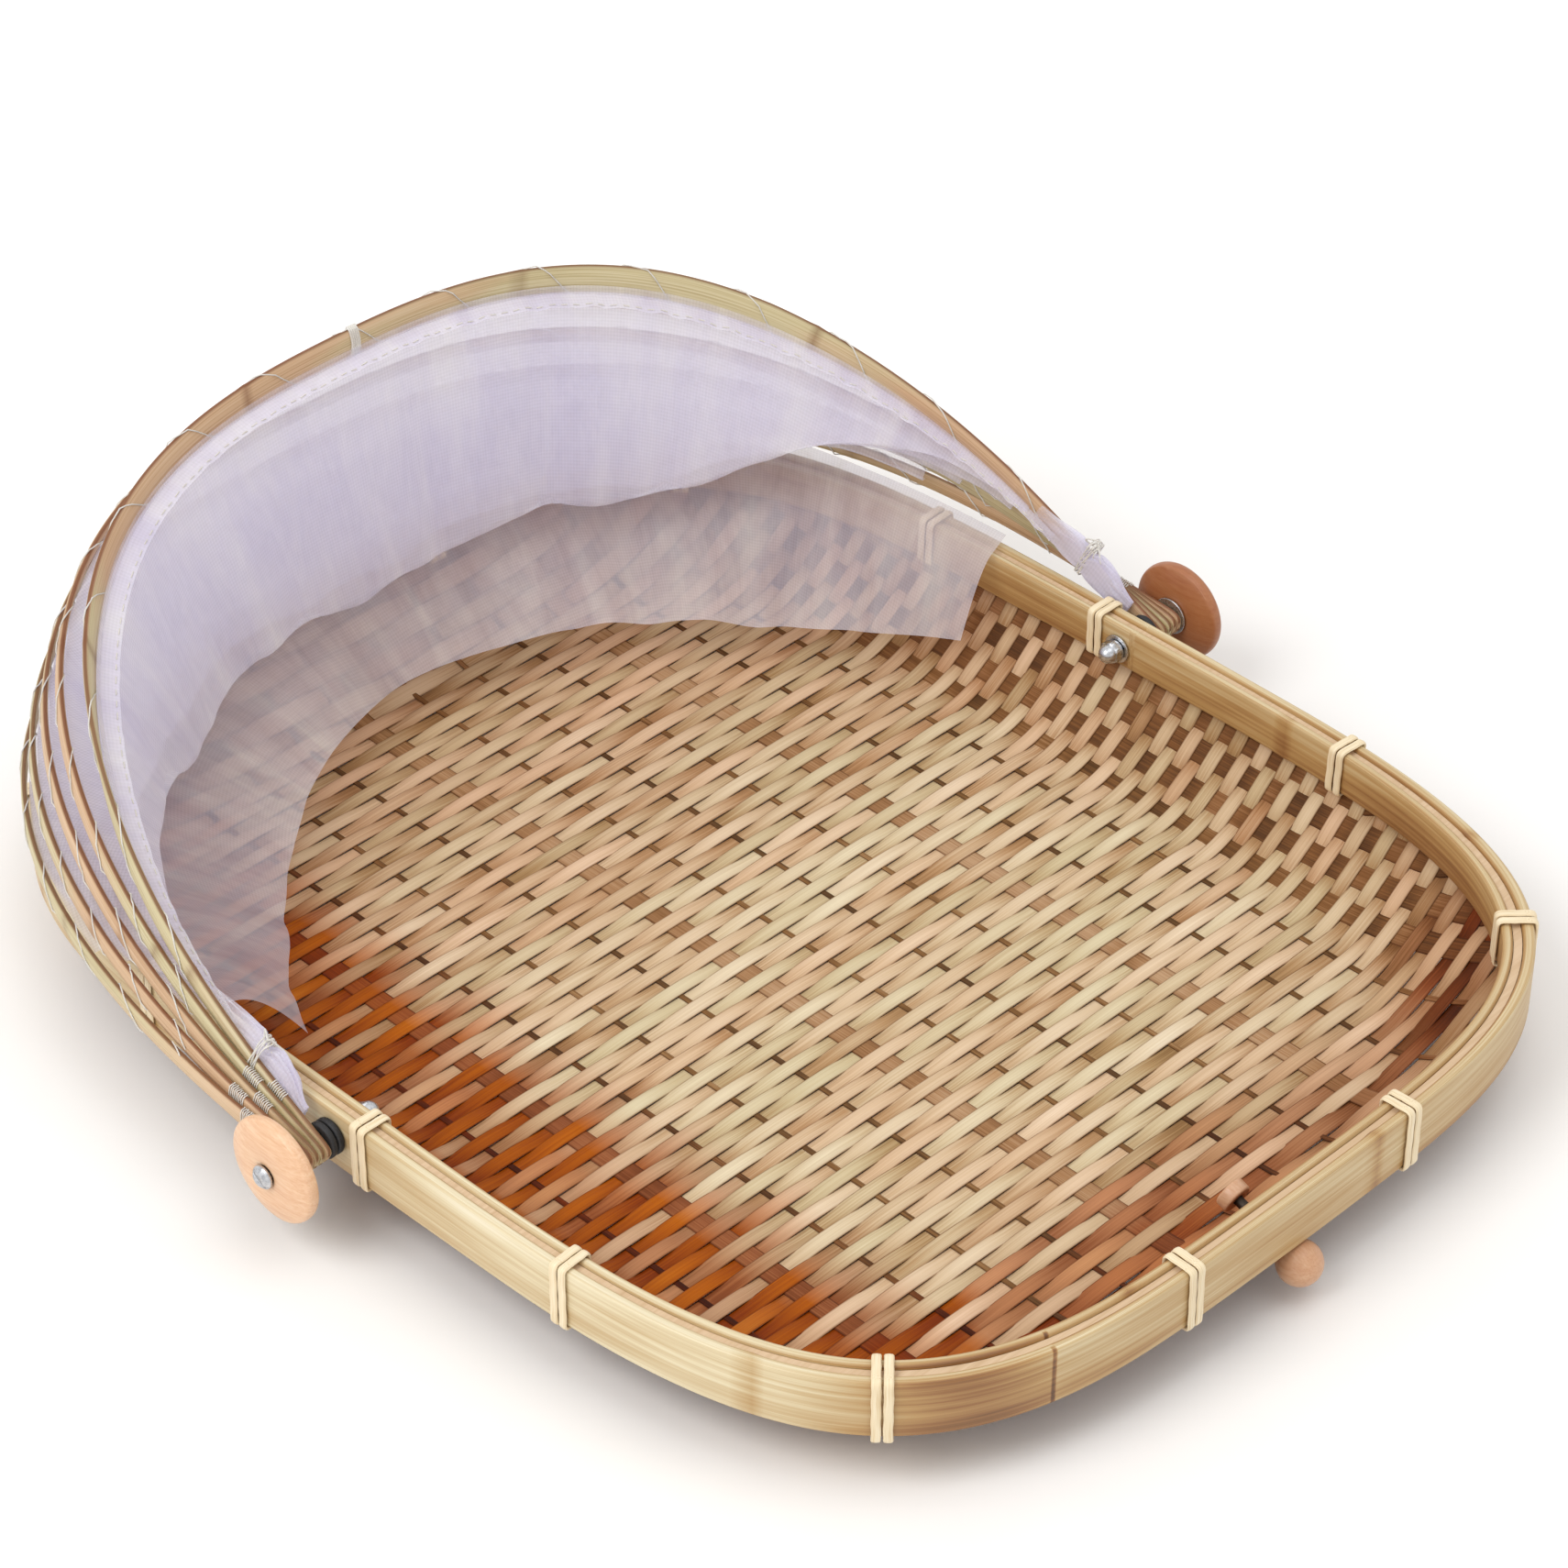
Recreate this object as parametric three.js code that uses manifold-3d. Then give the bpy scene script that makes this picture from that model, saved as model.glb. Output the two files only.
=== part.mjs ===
// Woven bamboo food basket with a folding gauze hood on five bamboo ribs.
// Millimetres, +Z up. The origin is the centre of the flat base, the open front looks along -Y,
// and the hood folds about an axis along X, through the two bolts at the basket's sides.
import * as THREE from "three";
import { mergeVertices } from "three/addons/utils/BufferGeometryUtils.js";
import Module from "manifold-3d";

// Basket
const trayLength = 400;
const trayWidth = 324;
const trayDepth = 38;
const outlinePower = 3.9;
const rimStations = 72;
const bandHeight = 19;
const bandThickness = 3;
const innerBandHeight = 14;
const innerBandThickness = 2.6;
const weaveThickness = 1.8;
const weaveTopDrop = 1;
const wallBendDrop = 1.5;
const wallRun = 32;
const wallPower = 1.6;
const wallSteps = 6;
const seatGap = 0.3;

// Woven strips of the base: their middles' distances, and how far each dips below the next
const crossStripPitch = 4.7;
const longStripPitch = 21;
const stripDip = 1;
const stripCrest = 0.05;
const reliefRunOut = 1;
const reliefMargin = 3;

// Ties round the rim: one beside each bolt, and the others at these angles from the right-hand side
const tieThickness = 1.1;
const tieTurnWidth = 2.6;
const tieTurnGap = 0.5;
const rightTieGap = 0.95;
const leftTieGap = 2.7;
const rearTieAngles = [27.5, 52.5, 77.5, 102.5, 127.5, 152.5];
const frontTieAngles = [207.5, 232.5, 257.5, 282.5, 307.5, 332.5];

// Hinge line of the hood
const hingeSetback = 4;
const hingeDrop = 8;
const boltRadius = 2;
const boltHeadRadius = 3.6;
const boltHeadHeight = 2.2;
const boltSlotWidth = 0.9;
const boltSlotDepth = 0.9;
const nutRadius = 3.8;
const nutLength = 6.4;
const nutEndWall = 1.4;
const washerThickness = 0.7;
const washerRadius = 6;
const nutWasherRadius = 4.6;
const rubberRadius = 5.5;
const rubberThickness = 2.1;
const rubberCount = 2;
const knobRadius = 16;
const knobThickness = 7.5;
const knobEdgeThickness = 2.6;
const turningSegments = 16;

// Hood ribs, from the wide front strip to the thin rear one
const ribCount = 5;
const ribReach = 206;
const ribPower = 2.65;
const ribThickness = 1.6;
const ribGap = 0.5;
const ribTail = 5;
const ribEndWidth = 8;
const ribWidth = 5.5;
const frontRibWidth = 9;
const ribTaperLength = 28;
const frontRibSwell = 150;
const ribSteps = 46;
const frontRibAngle = 152.3;
const ribSpacingAngle = 5.5;

// Gauze of the hood: each panel hangs in one deep fold between two ribs
const gauzeThickness = 0.6;
const gauzeStitchOffset = 1.4;
const panelStartRadii = [54, 60, 82, 98];
const panelSag = 2.6;
const foldDrops = [40, 33.5, 27.5, 21.5];
const foldHeights = [17, 15, 16.5, 18];
const foldOpening = 2.2;
const gatherWave = 2.2;
const gatherCount = 7;
const rampShare = 0.3;
const panelSteps = 30;
const panelRows = 6;

// Loose rear edge of the gauze, laid over the rear rim and down into the basket
const curtainStartRadius = 60;
const curtainLiftHeight = 4;
const curtainRibGap = 5;
const curtainRimShare = 0.34;
const kneeShare = 0.4;
const hemReach = 152;
const hemHalfWidth = 146;
const hemPower = 1.6;
const hemHeight = 19;
const hemWave = 1.6;

// Gathered end of the gauze beside each bolt
const tailStartRadius = 9.5;
const tailEndRadius = 39;
const tailNarrow = 1.1;
const tailWide = 4.4;
const tailHeight = 4;
const tailEndHeight = 9;
const tailSteps = 8;
const tailSides = 8;

// String knot on the front rib, a little to the right of its top
const knotShare = 0.52;
const knotWidth = 3.2;
const knotThickness = 0.9;
const knotHeadRadius = 2.6;

// Wooden latch peg under the front rim
const beadRadius = 6.6;
const beadDrop = 26.5;
const beadInset = 0.4;
const beadFlatShare = 0.82;
const pegTilt = 20;
const pegRadius = 1.5;
const pegInnerLength = 26;
const collarRadius = 4.6;
const collarLength = 4;
const collarRecess = 1.6;

// Values worked out from the sizes above
const halfWidth = trayWidth / 2;
const halfLength = trayLength / 2;
const hingeHeight = trayDepth - hingeDrop;
const weaveInset = bandThickness + seatGap;
const innerBandInset = weaveInset + weaveThickness + seatGap;
const rimInset = innerBandInset + innerBandThickness;
const wallTop = trayDepth - innerBandHeight - wallBendDrop;
const innerRubber = halfWidth + seatGap;
const rubberPitch = rubberThickness + seatGap;
const firstRib = innerRubber + rubberCount * rubberPitch;
const ribPitch = ribThickness + ribGap;
const ribsEnd = firstRib + ribCount * ribPitch - ribGap;
const outerWasher = ribsEnd + seatGap;
const knobFace = outerWasher + washerThickness + seatGap;
const knobOuter = knobFace + knobThickness;
const boltHead = knobOuter + seatGap;
const nutFace = halfWidth - rimInset - seatGap - washerThickness - seatGap;
const overrun = 5 * seatGap;
const tieOffset = rubberRadius + tieTurnWidth + tieTurnGap / 2;
const rightTieAngle = tieAngle(hingeSetback + tieOffset + rightTieGap);
const leftTieAngle = 180 - tieAngle(hingeSetback - tieOffset - leftTieGap);
const tieAngles = [rightTieAngle, ...rearTieAngles, leftTieAngle, ...frontTieAngles];

const wasm = await Module();
wasm.setup();

const basket = new THREE.Group();

const colours = {
  strip: new THREE.MeshStandardMaterial({ color: 0xc9b27a, roughness: 0.5 }),
  weave: new THREE.MeshStandardMaterial({ color: 0xd8bd8c, roughness: 0.6 }),
  rib: new THREE.MeshStandardMaterial({ color: 0xc4ab78, roughness: 0.55 }),
  tie: new THREE.MeshStandardMaterial({ color: 0xeeddb8, roughness: 0.6 }),
  wood: new THREE.MeshStandardMaterial({ color: 0xe0b183, roughness: 0.45 }),
  steel: new THREE.MeshStandardMaterial({ color: 0xb9bcc0, roughness: 0.25, metalness: 1 }),
  rubber: new THREE.MeshStandardMaterial({ color: 0x1d1d1f, roughness: 0.7 }),
  gauze: new THREE.MeshStandardMaterial({ color: 0xe9e4ee, roughness: 0.9 }),
  thread: new THREE.MeshStandardMaterial({ color: 0xf4f2ee, roughness: 0.8 }),
};

function radians(angle) {
  return (Math.PI * angle) / 180;
}

// The angle of a place on the basket's right-hand side, seen from its middle.
function tieAngle(y) {
  return (Math.atan2(y, halfWidth) * 180) / Math.PI;
}

// Merges a geometry's points and turns its faces outwards.
function closed(geometry) {
  geometry.deleteAttribute("normal");
  geometry.deleteAttribute("uv");
  const solid = mergeVertices(geometry);
  const place = solid.getAttribute("position");
  const index = solid.getIndex();
  const a = new THREE.Vector3();
  const b = new THREE.Vector3();
  const c = new THREE.Vector3();
  let volume = 0;
  for (let i = 0; i < index.count; i += 3) {
    a.fromBufferAttribute(place, index.getX(i));
    b.fromBufferAttribute(place, index.getX(i + 1));
    c.fromBufferAttribute(place, index.getX(i + 2));
    volume += a.dot(b.cross(c));
  }
  if (volume < 0) {
    for (let i = 0; i < index.count; i += 3) {
      const first = index.getX(i);
      index.setX(i, index.getX(i + 1));
      index.setX(i + 1, first);
    }
  }
  return solid;
}

function toManifold(geometry) {
  const solid = closed(geometry);
  const mesh = new wasm.Mesh({
    numProp: 3,
    vertProperties: Float32Array.from(solid.getAttribute("position").array),
    triVerts: Uint32Array.from(solid.getIndex().array),
  });
  return new wasm.Manifold(mesh);
}

function fromManifold(solid) {
  const mesh = solid.getMesh();
  const geometry = new THREE.BufferGeometry();
  geometry.setAttribute("position", new THREE.BufferAttribute(mesh.vertProperties, 3));
  geometry.setIndex(new THREE.BufferAttribute(mesh.triVerts, 1));
  return geometry;
}

function cut(geometry, tools) {
  let solid = toManifold(geometry);
  for (const tool of tools) {
    solid = solid.subtract(toManifold(tool));
  }
  return fromManifold(solid);
}

function join(geometries) {
  let solid = toManifold(geometries[0]);
  for (const geometry of geometries.slice(1)) {
    solid = solid.add(toManifold(geometry));
  }
  return fromManifold(solid);
}

function addPiece(name, geometry, material) {
  const piece = new THREE.Mesh(geometry, material);
  if (!geometry.getAttribute("normal")) {
    geometry.computeVertexNormals();
  }
  piece.name = name;
  basket.add(piece);
  return piece;
}

// A closed solid through rings of points, each ring a loop, with a flat cap on the first and last.
function loft(rings) {
  const count = rings[0].length;
  const places = [];
  for (const ring of rings) {
    for (const point of ring) {
      places.push(point.x, point.y, point.z);
    }
  }
  const faces = [];
  for (let i = 0; i + 1 < rings.length; i += 1) {
    for (let j = 0; j < count; j += 1) {
      const k = (j + 1) % count;
      const low = i * count;
      const high = low + count;
      faces.push(low + j, low + k, high + k);
      faces.push(low + j, high + k, high + j);
    }
  }
  const last = (rings.length - 1) * count;
  for (let j = 1; j + 1 < count; j += 1) {
    faces.push(0, j + 1, j);
    faces.push(last, last + j, last + j + 1);
  }
  const geometry = new THREE.BufferGeometry();
  geometry.setAttribute("position", new THREE.Float32BufferAttribute(places, 3));
  geometry.setIndex(faces);
  return closed(geometry);
}

// A closed plate on a grid: point(i, j, side) gives its upper side (1) and its lower side (-1).
function plate(across, along, point) {
  const places = [];
  for (const side of [1, -1]) {
    for (let i = 0; i <= across; i += 1) {
      for (let j = 0; j <= along; j += 1) {
        const place = point(i, j, side);
        places.push(place.x, place.y, place.z);
      }
    }
  }
  const row = along + 1;
  const layer = (across + 1) * row;
  const faces = [];
  const quad = (a, b, c, d) => faces.push(a, b, c, a, c, d);
  for (let i = 0; i < across; i += 1) {
    for (let j = 0; j < along; j += 1) {
      const a = i * row + j;
      quad(a, a + row, a + row + 1, a + 1);
      quad(layer + a, layer + a + 1, layer + a + row + 1, layer + a + row);
    }
  }
  for (let j = 0; j < along; j += 1) {
    const end = across * row + j;
    quad(j, j + 1, layer + j + 1, layer + j);
    quad(end, layer + end, layer + end + 1, end + 1);
  }
  for (let i = 0; i < across; i += 1) {
    const left = i * row;
    const right = left + along;
    quad(left, layer + left, layer + left + row, left + row);
    quad(right, right + row, layer + right + row, layer + right);
  }
  const geometry = new THREE.BufferGeometry();
  geometry.setAttribute("position", new THREE.Float32BufferAttribute(places, 3));
  geometry.setIndex(faces);
  return closed(geometry);
}

// A point on the basket's outline, drawn in by an inset: a squared-off ellipse.
function rimPoint(inset, angle, z) {
  const across = Math.abs(Math.cos(angle) / (halfWidth - inset)) ** outlinePower;
  const along = Math.abs(Math.sin(angle) / (halfLength - inset)) ** outlinePower;
  const reach = (across + along) ** (-1 / outlinePower);
  return new THREE.Vector3(reach * Math.cos(angle), reach * Math.sin(angle), z);
}

function rimRing(inset, z) {
  const ring = [];
  for (let i = 0; i < rimStations; i += 1) {
    ring.push(rimPoint(inset, (2 * Math.PI * i) / rimStations, z));
  }
  return ring;
}

// An upright band round the rim, from one inset to another.
function rimBand(inset, thickness, low, high) {
  const outline = new THREE.Shape(rimRing(inset, 0).map((p) => new THREE.Vector2(p.x, p.y)));
  const inside = rimRing(inset + thickness, 0).map((p) => new THREE.Vector2(p.x, p.y));
  outline.holes.push(new THREE.Path(inside));
  const band = new THREE.ExtrudeGeometry(outline, { depth: high - low, bevelEnabled: false });
  band.translate(0, 0, low);
  return band;
}

// The woven wall's section: inset and height at a share of the way from the bend to the base.
function wallPoint(share, lift) {
  const fall = (1 - share) ** wallPower;
  const slope = wallTop * wallPower * (1 - share) ** (wallPower - 1);
  const steep = Math.hypot(slope, wallRun);
  const inset = weaveInset + wallRun * share + (lift * slope) / steep;
  return { inset, z: wallTop * fall + (lift * wallRun) / steep };
}

// The middles of the strips on both sides of the basket's middle line, with a line past the last.
function stripLines(pitch, half) {
  const count = Math.floor(half / pitch + 1 / 2);
  const lines = [];
  for (let k = -count; k <= count + 1; k += 1) {
    lines.push((k - 1 / 2) * pitch);
  }
  lines[0] += pitch / 2;
  lines[lines.length - 1] -= pitch / 2;
  return lines;
}

// What lies over the base: where a strip passes under the one that crosses it, this dips.
function overWeave() {
  const inset = weaveInset + wallRun - reliefMargin;
  const xs = stripLines(longStripPitch, halfWidth - inset - reliefMargin);
  const ys = stripLines(crossStripPitch, halfLength - inset - reliefMargin);
  const inside = (x, y) => {
    const across = Math.abs(x / (halfWidth - inset)) ** outlinePower;
    return across + Math.abs(y / (halfLength - inset)) ** outlinePower < 1;
  };
  const isCell = (i, j) => i >= 0 && j >= 0 && i + 1 < xs.length && j + 1 < ys.length
    && [xs[i], xs[i + 1]].every((x) => inside(x, ys[j]) && inside(x, ys[j + 1]));
  const surrounded = (i, j) => isCell(i, j) && isCell(i - 1, j) && isCell(i, j - 1) && isCell(i - 1, j - 1);
  const places = [];
  const height = (i, j) => {
    const dip = (i + j) % 2 ? stripDip : stripCrest;
    return weaveThickness + (surrounded(i, j) ? -dip : reliefRunOut);
  };
  xs.forEach((x, i) => ys.forEach((y, j) => {
    places.push(x, y, height(i, j), x, y, weaveThickness + 2 * reliefRunOut);
  }));
  const faces = [];
  const corner = (i, j, top) => 2 * (i * ys.length + j) + top;
  const wall = (i, j, k, l) => {
    faces.push(corner(i, j, 0), corner(k, l, 0), corner(k, l, 1));
    faces.push(corner(i, j, 0), corner(k, l, 1), corner(i, j, 1));
  };
  for (let i = 0; i + 1 < xs.length; i += 1) {
    for (let j = 0; j + 1 < ys.length; j += 1) {
      if (isCell(i, j)) {
        // Each cell folds along the line between its two dips.
        const turn = (i + j) % 2 ? 0 : 1;
        const around = [[i, j], [i + 1, j], [i + 1, j + 1], [i, j + 1]];
        const low = around.map((_, k) => corner(...around[(k + turn) % 4], 0));
        const high = around.map((_, k) => corner(...around[(k + turn) % 4], 1));
        faces.push(low[0], low[2], low[1], low[0], low[3], low[2]);
        faces.push(high[0], high[1], high[2], high[0], high[2], high[3]);
        if (!isCell(i, j - 1)) wall(i, j, i + 1, j);
        if (!isCell(i + 1, j)) wall(i + 1, j, i + 1, j + 1);
        if (!isCell(i, j + 1)) wall(i + 1, j + 1, i, j + 1);
        if (!isCell(i - 1, j)) wall(i, j + 1, i, j);
      }
    }
  }
  const geometry = new THREE.BufferGeometry();
  geometry.setAttribute("position", new THREE.Float32BufferAttribute(places, 3));
  geometry.setIndex(faces);
  return geometry;
}

function trayWeave() {
  const top = trayDepth - weaveTopDrop;
  const rings = [];
  for (let i = wallSteps; i >= 1; i -= 1) {
    const point = wallPoint(i / wallSteps, weaveThickness);
    rings.push(rimRing(point.inset, point.z));
  }
  const lean = Math.atan2(wallRun, wallTop * wallPower) / 2;
  const mitre = wallTop + weaveThickness * Math.tan(lean);
  rings.push(rimRing(weaveInset + weaveThickness, mitre));
  rings.push(rimRing(weaveInset + weaveThickness, top));
  rings.push(rimRing(weaveInset, top));
  for (let i = 0; i <= wallSteps; i += 1) {
    const point = wallPoint(i / wallSteps, 0);
    rings.push(rimRing(point.inset, point.z));
  }
  return loft(rings);
}

// Round pieces on the hinge line: a profile of [radius, distance from the basket's middle].
function onHinge(profile, side) {
  const points = profile.map(([radius, out]) => new THREE.Vector2(radius, out));
  const round = new THREE.LatheGeometry(points, turningSegments);
  round.rotateZ((-side * Math.PI) / 2);
  round.translate(0, hingeSetback, hingeHeight);
  return closed(round);
}

function hingeRing(inner, outer, from, thickness, side) {
  const to = from + thickness;
  return onHinge([[inner, from], [outer, from], [outer, to], [inner, to], [inner, from]], side);
}

function hingeHole(side) {
  const from = nutFace - nutLength;
  const bore = boltRadius + seatGap;
  return onHinge([[0, from], [bore, from], [bore, knobOuter], [0, knobOuter]], side);
}

function pivotBolt(side) {
  const start = nutFace - nutLength + nutEndWall + seatGap;
  const end = boltHead + boltHeadHeight;
  const rounding = boltHeadHeight / 2;
  const bolt = onHinge([
    [0, start], [boltRadius, start], [boltRadius, boltHead], [boltHeadRadius, boltHead],
    [boltHeadRadius, end - rounding], [boltHeadRadius - rounding, end], [0, end],
  ], side);
  const slot = new THREE.BoxGeometry(2 * boltSlotDepth, 2 * boltHeadRadius + overrun, boltSlotWidth);
  slot.rotateX(Math.PI / 4);
  slot.translate(side * end, hingeSetback, hingeHeight);
  return cut(bolt, [slot]);
}

function capNut(side) {
  const end = nutFace - nutLength;
  const bore = boltRadius + seatGap;
  const shoulder = nutFace - nutLength / 2;
  const dome = nutLength / 4;
  return onHinge([
    [bore, nutFace], [nutRadius, nutFace], [nutRadius, shoulder], [nutRadius - dome / 2, end + dome],
    [nutRadius / 2, end], [0, end], [0, end + nutEndWall], [bore, end + nutEndWall], [bore, nutFace],
  ], side);
}

function knob(side) {
  const middle = knobFace + knobThickness / 2;
  const edge = knobEdgeThickness / 2;
  const bore = boltRadius + seatGap;
  const shoulder = knobRadius - knobThickness / 4;
  const flat = knobRadius / 2;
  return onHinge([
    [bore, knobFace], [flat, knobFace], [shoulder, middle - edge - knobThickness / 8],
    [knobRadius, middle - edge], [knobRadius, middle + edge],
    [shoulder, middle + edge + knobThickness / 8], [flat, knobOuter], [bore, knobOuter], [bore, knobFace],
  ], side);
}

// A point of a rib's hoop, from bolt to bolt: drawn in by an inset and moved along its swing.
function hoopPoint(rib, share, inset, swing, angle) {
  const turn = Math.PI * share;
  const side = firstRib + rib * ribPitch + ribThickness / 2 - inset;
  const reach = ribReach + rib * ribPitch - inset;
  const across = Math.abs(Math.cos(turn) / side) ** ribPower;
  const out = Math.abs(Math.sin(turn) / reach) ** ribPower;
  const length = (across + out) ** (-1 / ribPower);
  return swung(-length * Math.cos(turn), length * Math.sin(turn), swing, angle);
}

// Turns a place in a hoop's own plane to the hood's angle, counted from the front over the top.
function swung(x, reach, swing, angle) {
  const sine = Math.sin(radians(angle));
  const cosine = Math.cos(radians(angle));
  const y = hingeSetback - reach * cosine + swing * sine;
  return new THREE.Vector3(x, y, hingeHeight + reach * sine + swing * cosine);
}

function ribAngle(rib) {
  return frontRibAngle + rib * ribSpacingAngle;
}

function ribSection(rib, step) {
  const angle = ribAngle(rib);
  const top = rib === 0 ? frontRibWidth : ribWidth;
  const share = Math.min(Math.max((step - 1) / (ribSteps - 2), 0), 1);
  const foot = hoopPoint(rib, share, 0, 0, angle);
  const height = Math.hypot(foot.y - hingeSetback, foot.z - hingeHeight);
  const narrowing = Math.min(height / ribTaperLength, 1);
  const swelling = Math.min(height / frontRibSwell, 1) ** 2;
  const width = ribEndWidth + (ribWidth - ribEndWidth) * narrowing + (top - ribWidth) * swelling;
  const section = [];
  for (const [depth, swing] of [[-1, -1], [1, -1], [1, 1], [-1, 1]]) {
    const point = hoopPoint(rib, share, (depth * ribThickness) / 2, (swing * width) / 2, angle);
    if (step === 0 || step === ribSteps) {
      point.sub(swung(0, ribTail, 0, angle));
      point.add(new THREE.Vector3(0, hingeSetback, hingeHeight));
    }
    section.push(point);
  }
  return section;
}

function hoodRib(rib) {
  const rings = [];
  for (let step = 0; step <= ribSteps; step += 1) {
    rings.push(ribSection(rib, step));
  }
  return cut(loft(rings), [hingeHole(-1), hingeHole(1)]);
}

// A thin cloth solid on both sides of a curved surface.
function cloth(across, along, surface) {
  const normalAt = (i, j) => {
    const right = surface(Math.min(i + 1, across), j).sub(surface(Math.max(i - 1, 0), j));
    const down = surface(i, Math.min(j + 1, along)).sub(surface(i, Math.max(j - 1, 0)));
    return right.cross(down).normalize();
  };
  return plate(across, along, (i, j, side) => {
    const shift = normalAt(i, j).multiplyScalar((side * gauzeThickness) / 2);
    return surface(i, j).add(shift);
  });
}

// The share of the hoop at which a rib's leg is a given distance from the hinge line.
function startShare(rib, radius) {
  return Math.atan2(radius, firstRib + rib * ribPitch) / Math.PI;
}

// One gauze panel: it leaves its front rib, hangs to a fold inside the hood, and rises to the next.
function gauzePanel(panel) {
  const start = startShare(panel, panelStartRadii[panel]);
  const foldReach = ribReach - foldDrops[panel];
  const inset = ribThickness / 2 + gauzeThickness / 2 + seatGap;
  const surface = (i, j) => {
    const u = i / panelSteps;
    const v = j / panelRows;
    const share = start + (1 - 2 * start) * u;
    const front = hoopPoint(panel, share, inset, gauzeStitchOffset, ribAngle(panel));
    const back = hoopPoint(panel + 1, share, inset, -gauzeStitchOffset, ribAngle(panel + 1));
    const scale = Math.hypot(front.y - hingeSetback, front.z - hingeHeight) / ribReach;
    const edge = Math.min(Math.min(u, 1 - u) / rampShare, 1);
    const ramp = edge * edge * (3 - 2 * edge);
    const gather = gatherWave * Math.sin(gatherCount * Math.PI * u) * ramp;
    const between = ribAngle(panel) + ribSpacingAngle / 2;
    const middle = hoopPoint(panel, share, inset + panelSag, 0, between);
    const low = new THREE.Vector3(
      middle.x * (foldReach / ribReach),
      hingeSetback + foldReach * scale,
      hingeHeight + foldHeights[panel] + gather,
    );
    const near = middle.clone().lerp(low, ramp);
    const far = near.clone();
    far.y += foldOpening * ramp;
    const half = v < 0.5 ? 2 * v : 2 - 2 * v;
    const ease = half + (half * (1 - half)) / 2;
    return v <= 0.5 ? front.lerp(near, ease) : back.lerp(far, ease);
  };
  return cloth(panelSteps, panelRows, surface);
}

function hemPoint(share) {
  const turn = Math.PI * share;
  const across = Math.abs(Math.cos(turn) / hemHalfWidth) ** hemPower;
  const out = Math.abs(Math.sin(turn) / hemReach) ** hemPower;
  const length = (across + out) ** (-1 / hemPower);
  const wave = hemWave * Math.sin(gatherCount * turn);
  const x = -length * Math.cos(turn);
  return new THREE.Vector3(x, hingeSetback + length * Math.sin(turn), hemHeight + wave);
}

// The loose edge of the gauze: from the rear rib over the rim and down inside the basket. It drops
// from the rib itself where the rib lies further in than the rim.
function gauzeCurtain() {
  const rib = ribCount - 1;
  const start = startShare(rib, curtainStartRadius);
  const over = trayDepth + seatGap + tieThickness + seatGap + gauzeThickness / 2;
  const inset = ribThickness / 2 + gauzeThickness / 2 + seatGap;
  const surface = (i, j) => {
    const share = start + (1 - 2 * start) * (i / panelSteps);
    const v = j / panelRows;
    const stitch = hoopPoint(rib, share, inset, gauzeStitchOffset, ribAngle(rib));
    const angle = Math.atan2(stitch.y, stitch.x);
    const edge = rimPoint(-tieThickness - seatGap, angle, over);
    const lift = Math.min(Math.max((stitch.z - over) / curtainLiftHeight, 0), 1);
    const rimReach = rimPoint(rimInset + 2 * tieThickness, angle, 0).length();
    const ribReachHere = Math.hypot(stitch.x, stitch.y) - curtainRibGap;
    const inner = new THREE.Vector3(Math.cos(angle), Math.sin(angle), 0);
    inner.multiplyScalar(Math.min(rimReach, ribReachHere)).setZ(over);
    if (v <= curtainRimShare) {
      return edge.lerp(stitch, lift).lerp(inner, v / curtainRimShare);
    }
    const fall = (v - curtainRimShare) / (1 - curtainRimShare);
    const hem = hemPoint(share);
    const knee = inner.clone().lerp(hem, kneeShare);
    knee.z = over - tieThickness;
    const first = inner.lerp(knee, fall);
    const second = knee.lerp(hem, fall);
    return first.lerp(second, fall);
  };
  return cloth(panelSteps, panelRows, surface);
}

// The gathered end of the gauze, flat where it passes the rim and full where the cloth opens.
function gauzeTail(side) {
  const rings = [];
  const inset = ribThickness / 2 + seatGap;
  for (let step = 0; step <= tailSteps; step += 1) {
    const share = step / tailSteps;
    const radius = tailStartRadius + (tailEndRadius - tailStartRadius) * share;
    const flatSide = Math.abs(hoopPoint(0, startShare(0, radius), inset, 0, frontRibAngle).x);
    const swell = Math.max(0, (share - 0.5) * 2);
    const thick = tailNarrow + (tailWide - tailNarrow) * swell * swell;
    const tall = tailHeight + (tailEndHeight - tailHeight) * share;
    const ring = [];
    for (let k = 0; k < tailSides; k += 1) {
      const turn = (2 * Math.PI * k) / tailSides;
      const x = flatSide - (thick / 2) * (1 - Math.cos(turn));
      const swing = (tall / 2) * Math.sin(turn) - tall / 2;
      ring.push(swung(side * x, radius, swing, frontRibAngle));
    }
    rings.push(ring);
  }
  return loft(rings);
}

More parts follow.
